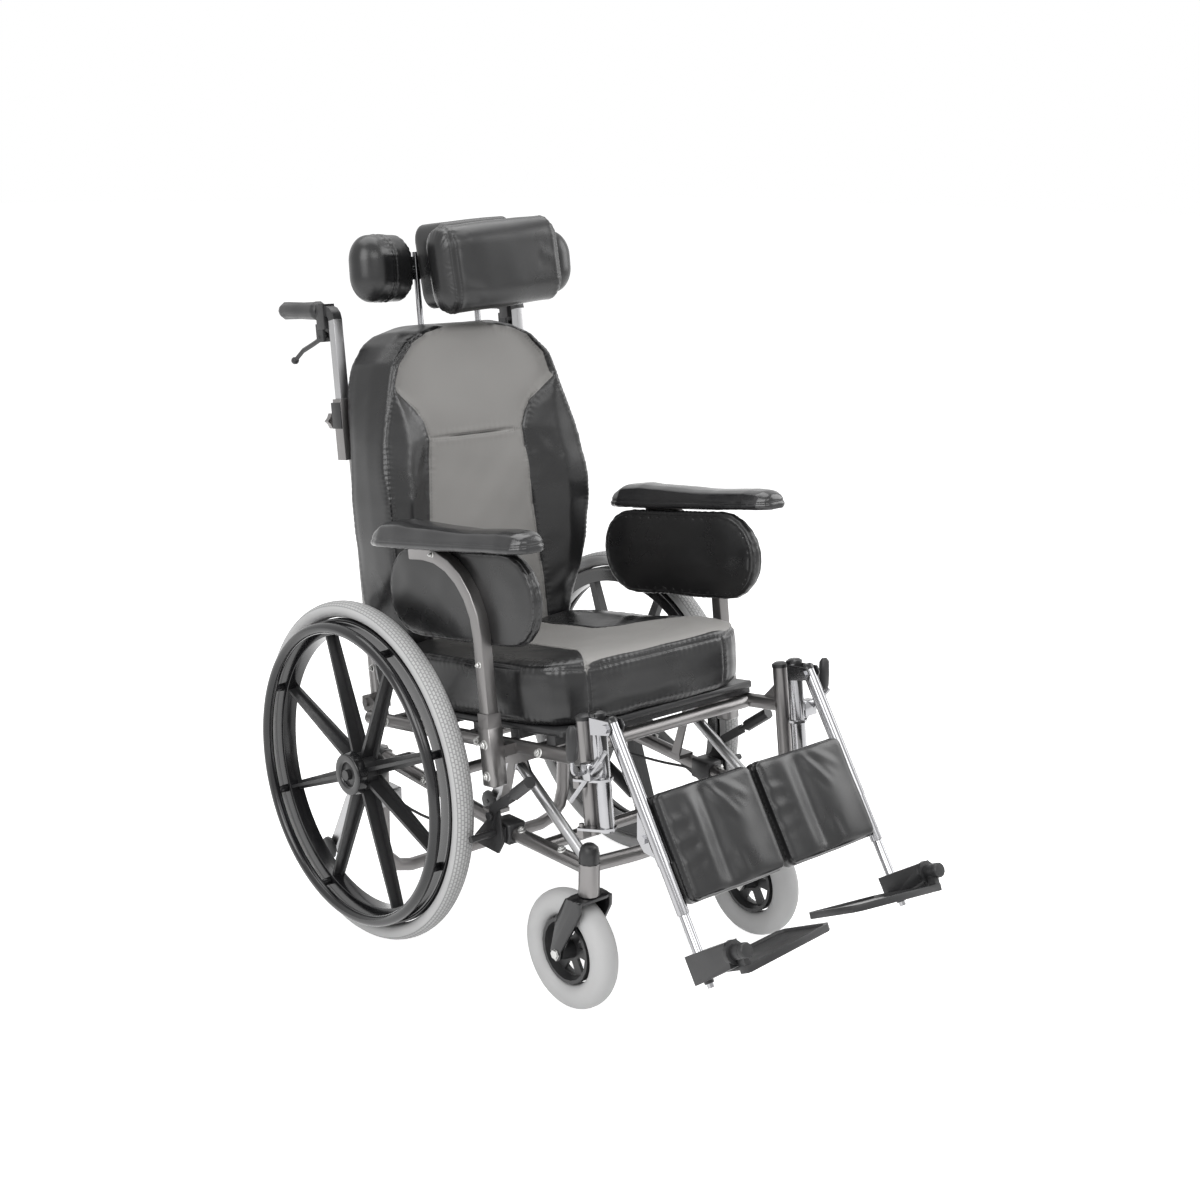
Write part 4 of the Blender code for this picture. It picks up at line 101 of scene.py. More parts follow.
class Graph:
    """Short ways to add nodes to one material."""

    def __init__(self, m):
        self.tree = m.node_tree
        self.surface = self.tree.nodes["Principled BSDF"]

    def add(self, kind, values=(), **settings):
        made = self.tree.nodes.new(kind)
        for key, value in settings.items():
            setattr(made, key, value)
        for key, value in dict(values).items():
            if isinstance(value, bpy.types.NodeSocket):
                self.tree.links.new(value, made.inputs[key])
            else:
                made.inputs[key].default_value = value
        return made

    def place(self):
        return self.add("ShaderNodeTexCoord").outputs["Object"]

    def named(self, name, output="Fac"):
        return self.add("ShaderNodeAttribute", attribute_name=name).outputs[output]

    def noise(self, scale, detail=3.0, vector=None):
        return self.add("ShaderNodeTexNoise", {"Vector": vector or self.place(), "Scale": scale,
                                               "Detail": detail}).outputs["Fac"]

    def cells(self, scale, vector=None):
        made = self.add("ShaderNodeTexVoronoi", {"Vector": vector or self.place(), "Scale": scale})
        return made.outputs["Distance"]

    def ranged(self, value, low, high, to_low=0.0, to_high=1.0):
        return self.add("ShaderNodeMapRange", {"Value": value, "From Min": low, "From Max": high,
                                               "To Min": to_low, "To Max": to_high}).outputs["Result"]

    def math(self, operation, a, b=0.0):
        return self.add("ShaderNodeMath", {0: a, 1: b}, operation=operation).outputs[0]

    def mixed(self, factor, a, b):
        made = self.add("ShaderNodeMix", data_type="RGBA")
        for key, value in ((0, factor), (6, a), (7, b)):
            if isinstance(value, bpy.types.NodeSocket):
                self.tree.links.new(value, made.inputs[key])
            else:
                made.inputs[key].default_value = value
        return made.outputs[2]

    def to(self, key, socket):
        self.tree.links.new(socket, self.surface.inputs[key])

    def bumped(self, height, distance, strength=1.0):
        made = self.add("ShaderNodeBump", {"Height": height, "Distance": distance, "Strength": strength})
        self.to("Normal", made.outputs["Normal"])


def rgba(color, gain=1.0):
    return (color[0] * gain, color[1] * gain, color[2] * gain, 1.0)


def metal(name, color, rough, spread, metallic=1.0, coat=0.0, grain=900.0, depth=0.00004):
    """Plated or painted metal: faint smears in its gloss, slight mottling and a fine orange peel."""
    m = shader(name, color, rough, metallic, coat)
    g = Graph(m)
    smear = g.noise(26.0, 4.0)
    g.to("Roughness", g.ranged(smear, 0.3, 0.7, rough - spread, rough + spread))
    g.to("Base Color", g.mixed(g.noise(18.0, 4.0), rgba(color, 0.93), rgba(color, 1.06)))
    g.bumped(g.noise(grain, 2.0), depth, 0.6)
    return m


def moulded(name, color, rough, spread=0.07, grain=1300.0, depth=0.00008, spec=0.4):
    """Moulded plastic or rubber: a fine pebbled skin with handling marks in its gloss."""
    m = shader(name, color, rough, spec=spec)
    g = Graph(m)
    g.to("Roughness", g.ranged(g.noise(24.0, 6.0), 0.3, 0.7, rough - spread, rough + spread))
    g.to("Base Color", g.mixed(g.noise(60.0, 4.0), rgba(color, 0.82), rgba(color, 1.22)))
    g.bumped(g.cells(grain), depth, 0.7)
    return m


def upholstery(name, black, grey, black_rough=0.29, grey_rough=0.60, spec=0.5):
    """Two-tone cover. Attributes on the mesh say where the grey panel, the seams and the stitches are. The seam
    lines are painted darker as painted shade in their grooves.
    """
    m = shader(name, black, black_rough, spec=spec)
    g = Graph(m)
    panel = g.ranged(g.named("panel"), -0.0005, 0.0005)
    seam = g.named("seam")
    row = g.math("ABSOLUTE", g.math("SUBTRACT", seam, 0.0042))
    thread = g.ranged(row, 0.0011, 0.0005)
    run = g.math("GREATER_THAN", g.math("FRACT", g.math("MULTIPLY", g.named("along"), 170.0)), 0.34)
    stitch = g.math("MULTIPLY", thread, run)
    mottle = g.noise(11.0, 5.0)
    dark = g.mixed(mottle, rgba(black, 0.75), rgba(black, 1.3))
    weave = g.math("ADD", g.math("MULTIPLY", g.noise(9.0, 3.0), 0.5), g.math("MULTIPLY", g.noise(1500.0, 1.0), 0.5))
    pale = g.mixed(weave, rgba(grey, 0.86), rgba(grey, 1.12))
    cover = g.mixed(panel, dark, pale)
    # Painted shade: within 1.6 mm of each seam line the cover is painted at 0.6 of the black, darker in the seam
    # grooves
    sewn = g.mixed(g.ranged(seam, 0.0006, 0.0016, 1.0, 0.0), cover, rgba(black, 0.6))
    g.to("Base Color", g.mixed(stitch, sewn, g.mixed(panel, rgba((0.030, 0.030, 0.031)), rgba(grey, 0.80))))
    gloss = g.ranged(mottle, 0.3, 0.7, black_rough - 0.05, black_rough + 0.06)
    both = g.add("ShaderNodeMix", data_type="FLOAT")
    g.tree.links.new(panel, both.inputs[0])
    g.tree.links.new(gloss, both.inputs[2])
    both.inputs[3].default_value = grey_rough
    g.to("Roughness", both.outputs[0])
    grain = g.math("MULTIPLY", g.cells(950.0), 0.00006)
    raised = g.math("MULTIPLY", stitch, 0.0002)
    g.bumped(g.math("ADD", grain, raised), 1.0, 0.8)
    return m


def tyre_rubber(name, color):
    """Pale tyre: rows of small blocks on the tread, a smooth sidewall and a few faint scuffs. The grooves between
    the blocks are painted darker as painted shade.
    """
    m = shader(name, color, 0.55, spec=0.35)
    g = Graph(m)
    place = g.named("tread", "Vector")
    split = g.add("ShaderNodeSeparateXYZ", {"Vector": place})
    bricks = g.add("ShaderNodeTexBrick", {"Vector": place, "Scale": 1.0, "Mortar Size": 0.00105,
                                          "Mortar Smooth": 0.5, "Brick Width": 0.0085, "Row Height": 0.0056})
    groove = g.math("MULTIPLY", bricks.outputs["Fac"], split.outputs["Z"])
    body = g.mixed(g.noise(16.0, 5.0), rgba(color, 0.92), rgba(color, 1.06))
    # Painted shade: the grooves between the tread blocks are painted at 0.60 of the rubber colour
    g.to("Base Color", g.mixed(groove, body, rgba(color, 0.60)))
    g.to("Roughness", g.ranged(g.noise(40.0, 4.0), 0.3, 0.7, 0.48, 0.64))
    g.bumped(g.math("SUBTRACT", g.math("MULTIPLY", g.noise(600.0, 2.0), 0.05), groove), 0.0009, 0.9)
    return m


GUNMETAL = metal("gunmetal_paint", (0.205, 0.198, 0.196), 0.36, 0.03, 0.90, 0.20, depth=0.00002)
SILVER = metal("silver_paint", (0.38, 0.38, 0.385), 0.31, 0.03, 0.97, depth=0.00002)
CHROME = metal("chrome_plate", (0.34, 0.34, 0.35), 0.16, 0.03, depth=0.00001)
ZINC = metal("zinc_plate", (0.50, 0.50, 0.49), 0.36, 0.08, grain=500.0, depth=0.00005)
PLASTIC = moulded("black_plastic", (0.024, 0.024, 0.025), 0.38)
GLOSS = moulded("gloss_plastic", (0.010, 0.010, 0.011), 0.17, 0.05, depth=0.00002, spec=0.5)
RUBBER = moulded("black_rubber", (0.020, 0.020, 0.021), 0.55, depth=0.00012)
COVER = upholstery("cover", (0.0095, 0.0095, 0.0100), (0.262, 0.255, 0.246))
ARM_SKIN = moulded("armpad_skin", (0.014, 0.014, 0.015), 0.20, 0.05, grain=1600.0, depth=0.00004, spec=0.6)
TYRE = tyre_rubber("grey_tyre", (0.53, 0.53, 0.53))

BY_SLOT = {"frame_gunmetal": GUNMETAL, "polished_chrome": CHROME, "black_moulded_plastic": PLASTIC,
           "black_gloss_plastic": GLOSS, "black_vinyl": COVER, "grey_rubber_tyre": TYRE, "black_rubber": RUBBER}
for part in frame["record"]["subparts"]:
    mesh = NODES[part["node"]].data
    mesh.materials.clear()
    mesh.materials.append(BY_SLOT[part["material_slot"]])


# Finish of the CAD nodes that stay: welded corners, smooth tubes and crisp edges
def smooth_by_angle(limit):
    """A geometry nodes group that shades smooth up to this angle."""
    tree = bpy.data.node_groups.new("smooth_by_angle", "GeometryNodeTree")
    tree.interface.new_socket("Geometry", in_out="INPUT", socket_type="NodeSocketGeometry")
    tree.interface.new_socket("Geometry", in_out="OUTPUT", socket_type="NodeSocketGeometry")
    start, end = tree.nodes.new("NodeGroupInput"), tree.nodes.new("NodeGroupOutput")
    plain = tree.nodes.new("GeometryNodeRemoveAttribute")
    plain.inputs["Name"].default_value = "custom_normal"
    faces = tree.nodes.new("GeometryNodeSetShadeSmooth")
    soft = tree.nodes.new("GeometryNodeSetShadeSmooth")
    soft.domain = "EDGE"
    edges = tree.nodes.new("GeometryNodeSetShadeSmooth")
    edges.domain = "EDGE"
    edges.inputs["Shade Smooth"].default_value = False
    angle = tree.nodes.new("GeometryNodeInputMeshEdgeAngle")
    sharp = tree.nodes.new("FunctionNodeCompare")
    sharp.data_type = "FLOAT"
    sharp.operation = "GREATER_THAN"
    sharp.inputs["B"].default_value = limit
    tree.links.new(angle.outputs["Unsigned Angle"], sharp.inputs["A"])
    tree.links.new(sharp.outputs["Result"], edges.inputs["Selection"])
    tree.links.new(start.outputs[0], plain.inputs["Geometry"])
    tree.links.new(plain.outputs["Geometry"], faces.inputs["Geometry"])
    tree.links.new(faces.outputs["Geometry"], soft.inputs["Geometry"])
    tree.links.new(soft.outputs["Geometry"], edges.inputs["Geometry"])
    tree.links.new(edges.outputs["Geometry"], end.inputs[0])
    return tree


SMOOTH = smooth_by_angle(radians(48.0))
ROUNDED = {"armrest_post": 0.0034, "push_handle": 0.0016, "back_frame": 0.0018, "footplate": 0.0012,
           "leg_lower": 0.0014, "caster_fork": 0.0014, "brake_mount": 0.0008, "seat_board": 0.0010}
for part in frame["record"]["subparts"]:
    node = NODES[part["node"]]
    joined = node.modifiers.new("joined", "WELD")
    joined.merge_threshold = 0.00002
    radius = ROUNDED.get(part["node"].replace("_left", "").replace("_right", ""))
    if radius:
        eased = node.modifiers.new("eased", "BEVEL")
        eased.width = radius
        eased.segments = 3
        eased.limit_method = "ANGLE"
        eased.angle_limit = radians(50.0)
    shaded = node.modifiers.new("shaded", "NODES")
    shaded.node_group = SMOOTH


def centres_of(mesh):
    flat = np.empty(len(mesh.polygons) * 3)
    mesh.polygons.foreach_get("center", flat)
    return flat.reshape(-1, 3)


def paint(name, material, where):
    """Gives the faces of a CAD node that a test picks another material."""
    mesh = NODES[name].data
    chosen = where(centres_of(mesh))
    mesh.materials.append(material)
    index = np.zeros(len(mesh.polygons), np.int32)
    mesh.polygons.foreach_get("material_index", index)
    index[chosen] = len(mesh.materials) - 1
    mesh.polygons.foreach_set("material_index", index)
    mesh.update()


def off_line(points, a, b):
    """Distance of each point from the line through a and b, and its share of the way along."""
    a, way = np.asarray(a, float), np.asarray(b, float) - np.asarray(a, float)
    share = (points - a) @ way / (way @ way)
    return np.linalg.norm(points - a - share[:, None] * way, axis=1), share


def on_struts(c):
    p = np.abs(c) * (1, 0, 0) + c * (0, 1, 1)
    d, share = off_line(p, (0.200, -0.065, 0.370), (0.208, -0.242, 0.260))
    return (d < 0.0108) & (share > -0.1) & (share < 1.1)


def on_housing_caps(c):
    return (np.abs(np.abs(c[:, 0]) - CASTER_X) < 0.02) & (np.abs(c[:, 1] + 0.252) < 0.02) & (c[:, 2] > 0.2605)


def on_rail_ends(c):
    return (np.abs(np.abs(c[:, 0]) - 0.228) < 0.015) & (c[:, 1] > 0.2825) & (np.abs(c[:, 2] - 0.293) < 0.015)


paint("back_frame", PLASTIC, lambda c: np.abs(c[:, 0]) > 0.2192)
paint("base_frame", SILVER, on_struts)
paint("base_frame", PLASTIC, lambda c: on_housing_caps(c) | on_rail_ends(c))
paint("seat_frame", PLASTIC, lambda c: (SEAT.local(c)[:, 2] > 0.0795) & (SEAT.local(c)[:, 1] < -0.18))
for side, _ in SIDES:
    paint(f"leg_hanger_{side}", GLOSS, lambda c: SEAT.local(c)[:, 2] > 0.0915)
    paint(f"leg_hanger_{side}", PLASTIC, lambda c: (SEAT.local(c)[:, 1] < -0.250) & (SEAT.local(c)[:, 2] > 0.055)
          & (np.abs(np.abs(c[:, 0]) - LEG_X) < 0.0144))
    paint(f"leg_upper_{side}", GLOSS, lambda c: KNEE.local(c)[:, 2] > 0.0075)
    paint(f"leg_lower_{side}", CHROME, lambda c: (np.hypot(np.abs(c[:, 0]) - LEG_X, KNEE.local(c)[:, 1]) < 0.0086)
          & ((KNEE.local(c)[:, 2] > -0.356) | (KNEE.local(c)[:, 2] < -0.4035)))
    paint(f"push_handle_{side}", SILVER, lambda c: (BACK.local(c)[:, 2] < 0.672)
          & (np.abs(BACK.local(c)[:, 1]) < 0.0096))
    paint(f"release_lever_{side}", CHROME, lambda c: SEAT.local(c)[:, 2] < 0.0315)
    paint(f"rear_axle_{side}", PLASTIC, lambda c: np.abs(c[:, 0]) > 0.330)
    paint(f"anti_tip_arm_{side}", SILVER, lambda c: c[:, 2] > 0.0)
    paint(f"caster_fork_{side}", ZINC, lambda c: np.hypot(c[:, 1] - CASTER_Y, c[:, 2] - CASTER_RADIUS) < 0.0095)


# Wheels: turned rings in place of the CAD's faceted ones
def linked(name, mesh):
    o = bpy.data.objects.new(name, mesh)
    bpy.context.scene.collection.objects.link(o)
    return o


def ring(verts, faces, tread, profile, centre, segments, mark=0.0):
    """Adds a closed ring turned about X: profile is (offset along x, radius) pairs in order round it."""
    base, count = len(verts), len(profile)
    for i in range(segments):
        a = 2 * pi * i / segments
        verts.extend((centre[0] + x, centre[1] + r * sin(a), centre[2] + r * cos(a)) for x, r in profile)
    length = np.concatenate([[0.0], np.cumsum(np.linalg.norm(np.diff(np.array(profile), axis=0), axis=1))])
    reach = max(r for _, r in profile)
    for i in range(segments):
        j = (i + 1) % segments
        for k in range(count):
            n = (k + 1) % count
            faces.append((base + i * count + k, base + i * count + n, base + j * count + n, base + j * count + k))
            on = 1.0 if mark and profile[k][1] > mark and profile[n][1] > mark else 0.0
            step = 2 * pi * reach / segments
            across = (length[k], length[n] if n else length[k] + 0.002)
            tread.extend(((i * step, across[0], on), (i * step, across[1], on),
                          ((i + 1) * step, across[1], on), ((i + 1) * step, across[0], on)))


def solid(name, verts, faces, material, tread=None):
    """A closed rigid piece in one material; tread holds a place on the tyre for each face corner."""
    mesh = bpy.data.meshes.new(name)
    mesh.from_pydata(verts, [], faces)
    if tread is not None:
        mesh.attributes.new("tread", "FLOAT_VECTOR", "CORNER").data.foreach_set("vector", np.array(tread).ravel())
    build = bmesh.new()
    build.from_mesh(mesh)
    bmesh.ops.recalc_face_normals(build, faces=build.faces)
    build.to_mesh(mesh)
    build.free()
    mesh.materials.append(material)
    mesh.polygons.foreach_set("use_smooth", np.full(len(mesh.polygons), True))
    return linked(name, mesh)


def oval(half_width, low, high, count=28, power=2.4):
    """A tyre's section: rounded outside, and flat where it sits on the rim."""
    out = []
    middle = (low + high) / 2 + 0.0005
    for i in range(count):
        a = 2 * pi * i / count
        x = half_width * np.sign(cos(a)) * abs(cos(a)) ** (2 / power)
        r = middle + (high - middle) * np.sign(sin(a)) * abs(sin(a)) ** (2 / power)
        out.append((x, max(low, r)))
    return out


def rounded(points, radius=0.0012, steps=2):
    """Rounds the corners of a closed section."""
    out, pts = [], [np.array(p, float) for p in points]
    for i, p in enumerate(pts):
        before, after = pts[i - 1] - p, pts[(i + 1) % len(pts)] - p
        r = min(radius, np.linalg.norm(before) * 0.45, np.linalg.norm(after) * 0.45)
        a, b = p + before / np.linalg.norm(before) * r, p + after / np.linalg.norm(after) * r
        out.extend(tuple((1 - t) ** 2 * a + 2 * t * (1 - t) * p + t * t * b) for t in np.linspace(0, 1, steps + 1))
    return out


def rod(verts, faces, tread, a, b, radius_a, radius_b, sides=14):
    """Adds a closed round rod from a to b."""
    a, b = Vector(a), Vector(b)
    way = (b - a).normalized()
    u = way.orthogonal().normalized()
    v = way.cross(u)
    base = len(verts)
    stations = ((a, radius_a * 0.8), (a + way * 0.0008, radius_a), (b - way * 0.0008, radius_b), (b, radius_b * 0.8))
    for point, radius in stations:
        verts.extend(tuple(point + (u * cos(t) + v * sin(t)) * radius)
                     for t in (2 * pi * i / sides for i in range(sides)))
    for s in range(len(stations) - 1):
        for i in range(sides):
            j = (i + 1) % sides
            faces.append((base + s * sides + i, base + s * sides + j, base + (s + 1) * sides + j,
                          base + (s + 1) * sides + i))
            tread.extend([(0.0, 0.0, 0.0)] * 4)
    faces.append(tuple(base + i for i in range(sides)))
    faces.append(tuple(base + (len(stations) - 1) * sides + i for i in reversed(range(sides))))
    tread.extend([(0.0, 0.0, 0.0)] * (2 * sides))


for side, way in SIDES:
    hub = (way * REAR_WHEEL_X, AXLE_Y, REAR_WHEEL_RADIUS)
    parts = ([], [], [])
    ring(*parts, oval(0.0190, RIM_SEAT_RADIUS, REAR_WHEEL_RADIUS, power=2.1), hub, 176, mark=0.2905)
    tyre = solid(f"tyre_{side}", parts[0], parts[1], TYRE, parts[2])
    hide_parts(f"rear_tyre_{side}")
    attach(tyre, f"rear_wheel_{side}")

    parts = ([], [], [])
    channel = ((-0.0145, 0.2702), (-0.0145, 0.2662), (-0.0136, 0.2640), (-0.0136, 0.2424), (0.0136, 0.2424),
               (0.0136, 0.2640), (0.0145, 0.2662), (0.0145, 0.2702))
    ring(*parts, rounded(channel), hub, 144)
    collar = ((0.0175, 0.0385), (0.0338, 0.0368), (0.0356, 0.0350), (0.0356, 0.0240), (0.0325, 0.0205),
              (0.0175, 0.0205))
    ring(*parts, rounded([(way * x, r) for x, r in collar], 0.0015), hub, 56)
    rim = solid(f"rim_{side}", parts[0], parts[1], GLOSS)
    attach(rim, f"rear_wheel_{side}")

    parts = ([], [], [])
    tube = [(way * PUSH_RING_OFFSET + PUSH_RING_TUBE * cos(a), PUSH_RING_RADIUS + PUSH_RING_TUBE * sin(a))
            for a in np.linspace(0, 2 * pi, 20)[:-1]]
    ring(*parts, tube, hub, 144)
    for i in range(PUSH_RING_FEET):
        a = 2 * pi * (i + 0.5) / PUSH_RING_FEET
        spot = Vector((0.0, sin(a), cos(a)))
        foot = Vector(hub) + Vector((way * 0.0140, 0.0, 0.0)) + spot * 0.2555
        rod(*parts, foot, foot + Vector((way * 0.0225, 0.0, 0.0)) + spot * 0.001, 0.0072, 0.0055)
    hoop = solid(f"push_ring_{side}", parts[0], parts[1], GLOSS)
    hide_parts(f"handrim_{side}")
    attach(hoop, f"rear_wheel_{side}")

    parts = ([], [], [])
    small = (way * CASTER_X, CASTER_Y, CASTER_RADIUS)
    ring(*parts, oval(0.0230, 0.0565, CASTER_RADIUS, 30, 2.2), small, 96)
    tyre = solid(f"caster_rubber_{side}", parts[0], parts[1], TYRE, parts[2])
    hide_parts(f"caster_tyre_{side}")
    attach(tyre, f"caster_wheel_{side}")


# Plans of the sewn panels
def table(value, rows):
    """Reads a table of (value, entry) pairs, straight between its rows."""
    rows = np.array(rows)
    return np.interp(value, rows[:, 0], rows[:, 1])


def seat_half(y):
    """Half width of the seat cushion, rounded in towards its front corners."""
    share = np.clip((-0.062 - y) / 0.090, 0.0, 1.0)
    return SEAT_HALF_WIDTH - 0.096 * (1.0 - np.sqrt(np.maximum(0.0, 1.0 - share * share)))


def back_half(z):
    """Half width of the back cushion's front at a height."""
    wide = table(z, ((0.030, 0.73), (0.100, 0.79), (0.150, 0.84), (0.190, 0.90), (0.255, 0.97), (0.336, 1.0),
                     (0.400, 1.0), (0.480, 0.95), (0.560, 0.83), (0.605, 0.76), (0.640, 0.60), (0.655, 0.45),
                     (0.664, 0.24)))
    return wide * BACK_HALF_WIDTH


def back_rear_half(z):
    """Half width of the back cushion's rear seam at a height."""
    wide = table(z, ((0.030, 0.88), (0.186, 0.945), (0.363, 0.965), (0.463, 0.935), (0.539, 0.93),
                     (0.594, 0.885), (0.632, 0.81), (0.655, 0.66), (0.667, 0.40)))
    return wide * BACK_HALF_WIDTH


def back_panel(z):
    """Half width of the grey panel at a height."""
    plan = table(z, ((0.030, 0.59), (0.158, 0.575), (0.334, 0.515), (0.470, 0.463), (0.500, 0.506),
                     (0.522, 0.57), (0.566, 0.80), (0.600, 1.0)))
    return np.minimum(plan * BACK_HALF_WIDTH, back_half(z) * 0.93)


def back_bolster(z):
    """How far the side bolsters stand forward at a height."""
    return table(z, ((0.030, 0.004), (0.150, 0.018), (0.255, 0.036), (0.360, 0.046), (0.480, 0.030),
                     (0.560, 0.022), (0.620, 0.018), (0.664, 0.016)))


def inside_plan(points, outline):
    """Signed distance in plan from a closed outline, above zero inside it."""
    outline = np.asarray(outline, float)
    ends = np.roll(outline, -1, axis=0)
    best = np.full(len(points), 9.0)
    crossings = np.zeros(len(points), bool)
    for a, b in zip(outline, ends):
        way = b - a
        share = np.clip((points - a) @ way / max(way @ way, 1e-12), 0.0, 1.0)
        best = np.minimum(best, np.linalg.norm(points - a - share[:, None] * way, axis=1))
        spans = (a[1] > points[:, 1]) != (b[1] > points[:, 1])
        at = a[0] + (points[:, 1] - a[1]) * way[0] / (way[1] if abs(way[1]) > 1e-12 else 1e-12)
        crossings ^= spans & (points[:, 0] < at)
    return np.where(crossings, best, -best)


# Soft goods
def baked(o):
    """Applies every modifier on an object to its mesh."""
    graph = bpy.context.evaluated_depsgraph_get()
    mesh = bpy.data.meshes.new_from_object(o.evaluated_get(graph))
    o.modifiers.clear()
    o.data = mesh
    return o


def remeshed(name, node, voxel, relax):
    """A new soft body in the space of a CAD solid: voxel remeshed, relaxed and subdivided once."""
    build = bmesh.new()
    build.from_mesh(NODES[node].data)
    mesh = bpy.data.meshes.new(name)
    build.to_mesh(mesh)
    build.free()
    o = linked(name, mesh)
    cells = o.modifiers.new("cells", "REMESH")
    cells.mode = "VOXEL"
    cells.voxel_size = voxel
    calm = o.modifiers.new("calm", "SMOOTH")
    calm.factor = 0.5
    calm.iterations = relax
    finer = o.modifiers.new("finer", "SUBSURF")
    finer.levels = finer.render_levels = 1
    return baked(o)


def points_of(mesh):
    flat = np.empty(len(mesh.vertices) * 3)
    mesh.vertices.foreach_get("co", flat)
    return flat.reshape(-1, 3)


def normals_of(mesh):
    flat = np.empty(len(mesh.vertices) * 3)
    mesh.vertex_normals.foreach_get("vector", flat)
    return flat.reshape(-1, 3)


def shifted(o, points):
    o.data.vertices.foreach_set("co", points.ravel())
    o.data.update()


def nearest_on(paths, points):
    """Distance from each point to the nearest of the paths, and how far along that path it is."""
    best = np.full(len(points), 1.0)
    along = np.zeros(len(points))
    for path in paths:
        path = np.asarray(path, float)
        legs = np.concatenate([[0.0], np.cumsum(np.linalg.norm(np.diff(path, axis=0), axis=1))])
        at = np.linspace(0.0, legs[-1], max(2, int(legs[-1] / 0.0015)))
        samples = np.stack([np.interp(at, legs, path[:, k]) for k in range(3)], 1)
        tree = KDTree(len(samples))
        for i, p in enumerate(samples):
            tree.insert(p, i)
        tree.balance()
        near = ((points > samples.min(0) - 0.03) & (points < samples.max(0) + 0.03)).all(1)
        for i in np.nonzero(near)[0]:
            _, index, d = tree.find(points[i])
            if d < best[i]:
                best[i], along[i] = d, at[index]
    return best, along


def hoops(points, origin, axis, offsets):
    """Seams that run round a pad at these offsets along its axis: distance and place along the nearest."""
    axis = np.asarray(axis, float) / np.linalg.norm(axis)
    rel = points - np.asarray(origin)
    u = rel @ axis
    other = np.cross(axis, (0.0, 0.0, 1.0) if abs(axis[2]) < 0.8 else (1.0, 0.0, 0.0))
    other /= np.linalg.norm(other)
    a, b = rel @ other, rel @ np.cross(axis, other)
    d = np.min([np.abs(u - k) for k in offsets], axis=0)
    return d, np.arctan2(b, a) * np.hypot(a, b).mean()


def waves(points, length, seed, count=9):
    """Smooth noise between about -1 and 1, from a few plane waves with random directions."""
    rng = np.random.default_rng(seed)
    total = np.zeros(len(points))
    for _ in range(count):
        way = rng.normal(size=3)
        way /= np.linalg.norm(way)
        total += np.sin(points @ way * 2 * pi / (length * rng.uniform(0.7, 1.6)) + rng.uniform(0, 2 * pi))
    return total / count ** 0.5


def sewn(o, found, depth=0.0024, width=0.0026, swell=0.0008, pucker=0.00025, pitch=0.012, seed=1):
    """Pulls a seam into a soft body, with a swell on both sides and small puckers across it."""
    d, along = found
    points, normals = points_of(o.data), normals_of(o.data)
    wobble = 1.0 + 0.5 * waves(points, 0.05, seed)
    shift = swell * np.exp(-((d - 2.6 * width) / (2.2 * width)) ** 2) - depth * np.exp(-(d / width) ** 2)
    shift += pucker * wobble * np.sin(along * 2 * pi / pitch) * np.exp(-(d / 0.012) ** 2) * (
        1 - np.exp(-(d / 0.003) ** 2))
    shifted(o, points + normals * shift[:, None])


def creased(o, amounts):
    """Soft unevenness of a filled cover: each amount is (height, wavelength, seed)."""
    points, normals = points_of(o.data), normals_of(o.data)
    shift = sum(height * waves(points, length, seed) for height, length, seed in amounts)
    shifted(o, points + normals * shift[:, None])


def folds(o, lines, height=0.0016, width=0.006):
    """Tension folds: soft ridges along short lines on the surface, fading towards both ends."""
    points, normals = points_of(o.data), normals_of(o.data)
    shift = np.zeros(len(points))
    for a, b, gain in lines:
        d, share = off_line(points, a, b)
        fade = np.clip(np.minimum(share, 1.0 - share) * 4.0, 0.0, 1.0)
        shift += height * gain * fade * (np.exp(-(d / width) ** 2) - 0.5 * np.exp(-((d - 2.2 * width) / width) ** 2))
    shifted(o, points + normals * shift[:, None])


def covered(o, body, node, material=None, seams=None, panel=None):
    """Marks seams and panels for the cover's material, hides the CAD node that the piece stands for and attaches the
    piece to its body.
    """
    mesh = o.data
    count = len(mesh.vertices)
    d, along = seams if seams is not None else (np.ones(count), np.zeros(count))
    for name, values in (("seam", d), ("along", along), ("panel", panel if panel is not None else -np.ones(count))):
        mesh.attributes.new(name, "FLOAT", "POINT").data.foreach_set("value", np.asarray(values, np.float32))
    mesh.materials.clear()
    mesh.materials.append(material or COVER)
    mesh.polygons.foreach_set("use_smooth", np.full(len(mesh.polygons), True))
    mesh.update()
    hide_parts(node)
    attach(o, body)


def nearest_of(*found):
    """The nearer of several sets of seams, point by point."""
    d = np.array([f[0] for f in found])
    pick = d.argmin(0)
    rows = np.arange(d.shape[1])
    return d[pick, rows], np.array([f[1] for f in found])[pick, rows]


def mirrored(path):
    return [(-x, y, z) for x, y, z in path]


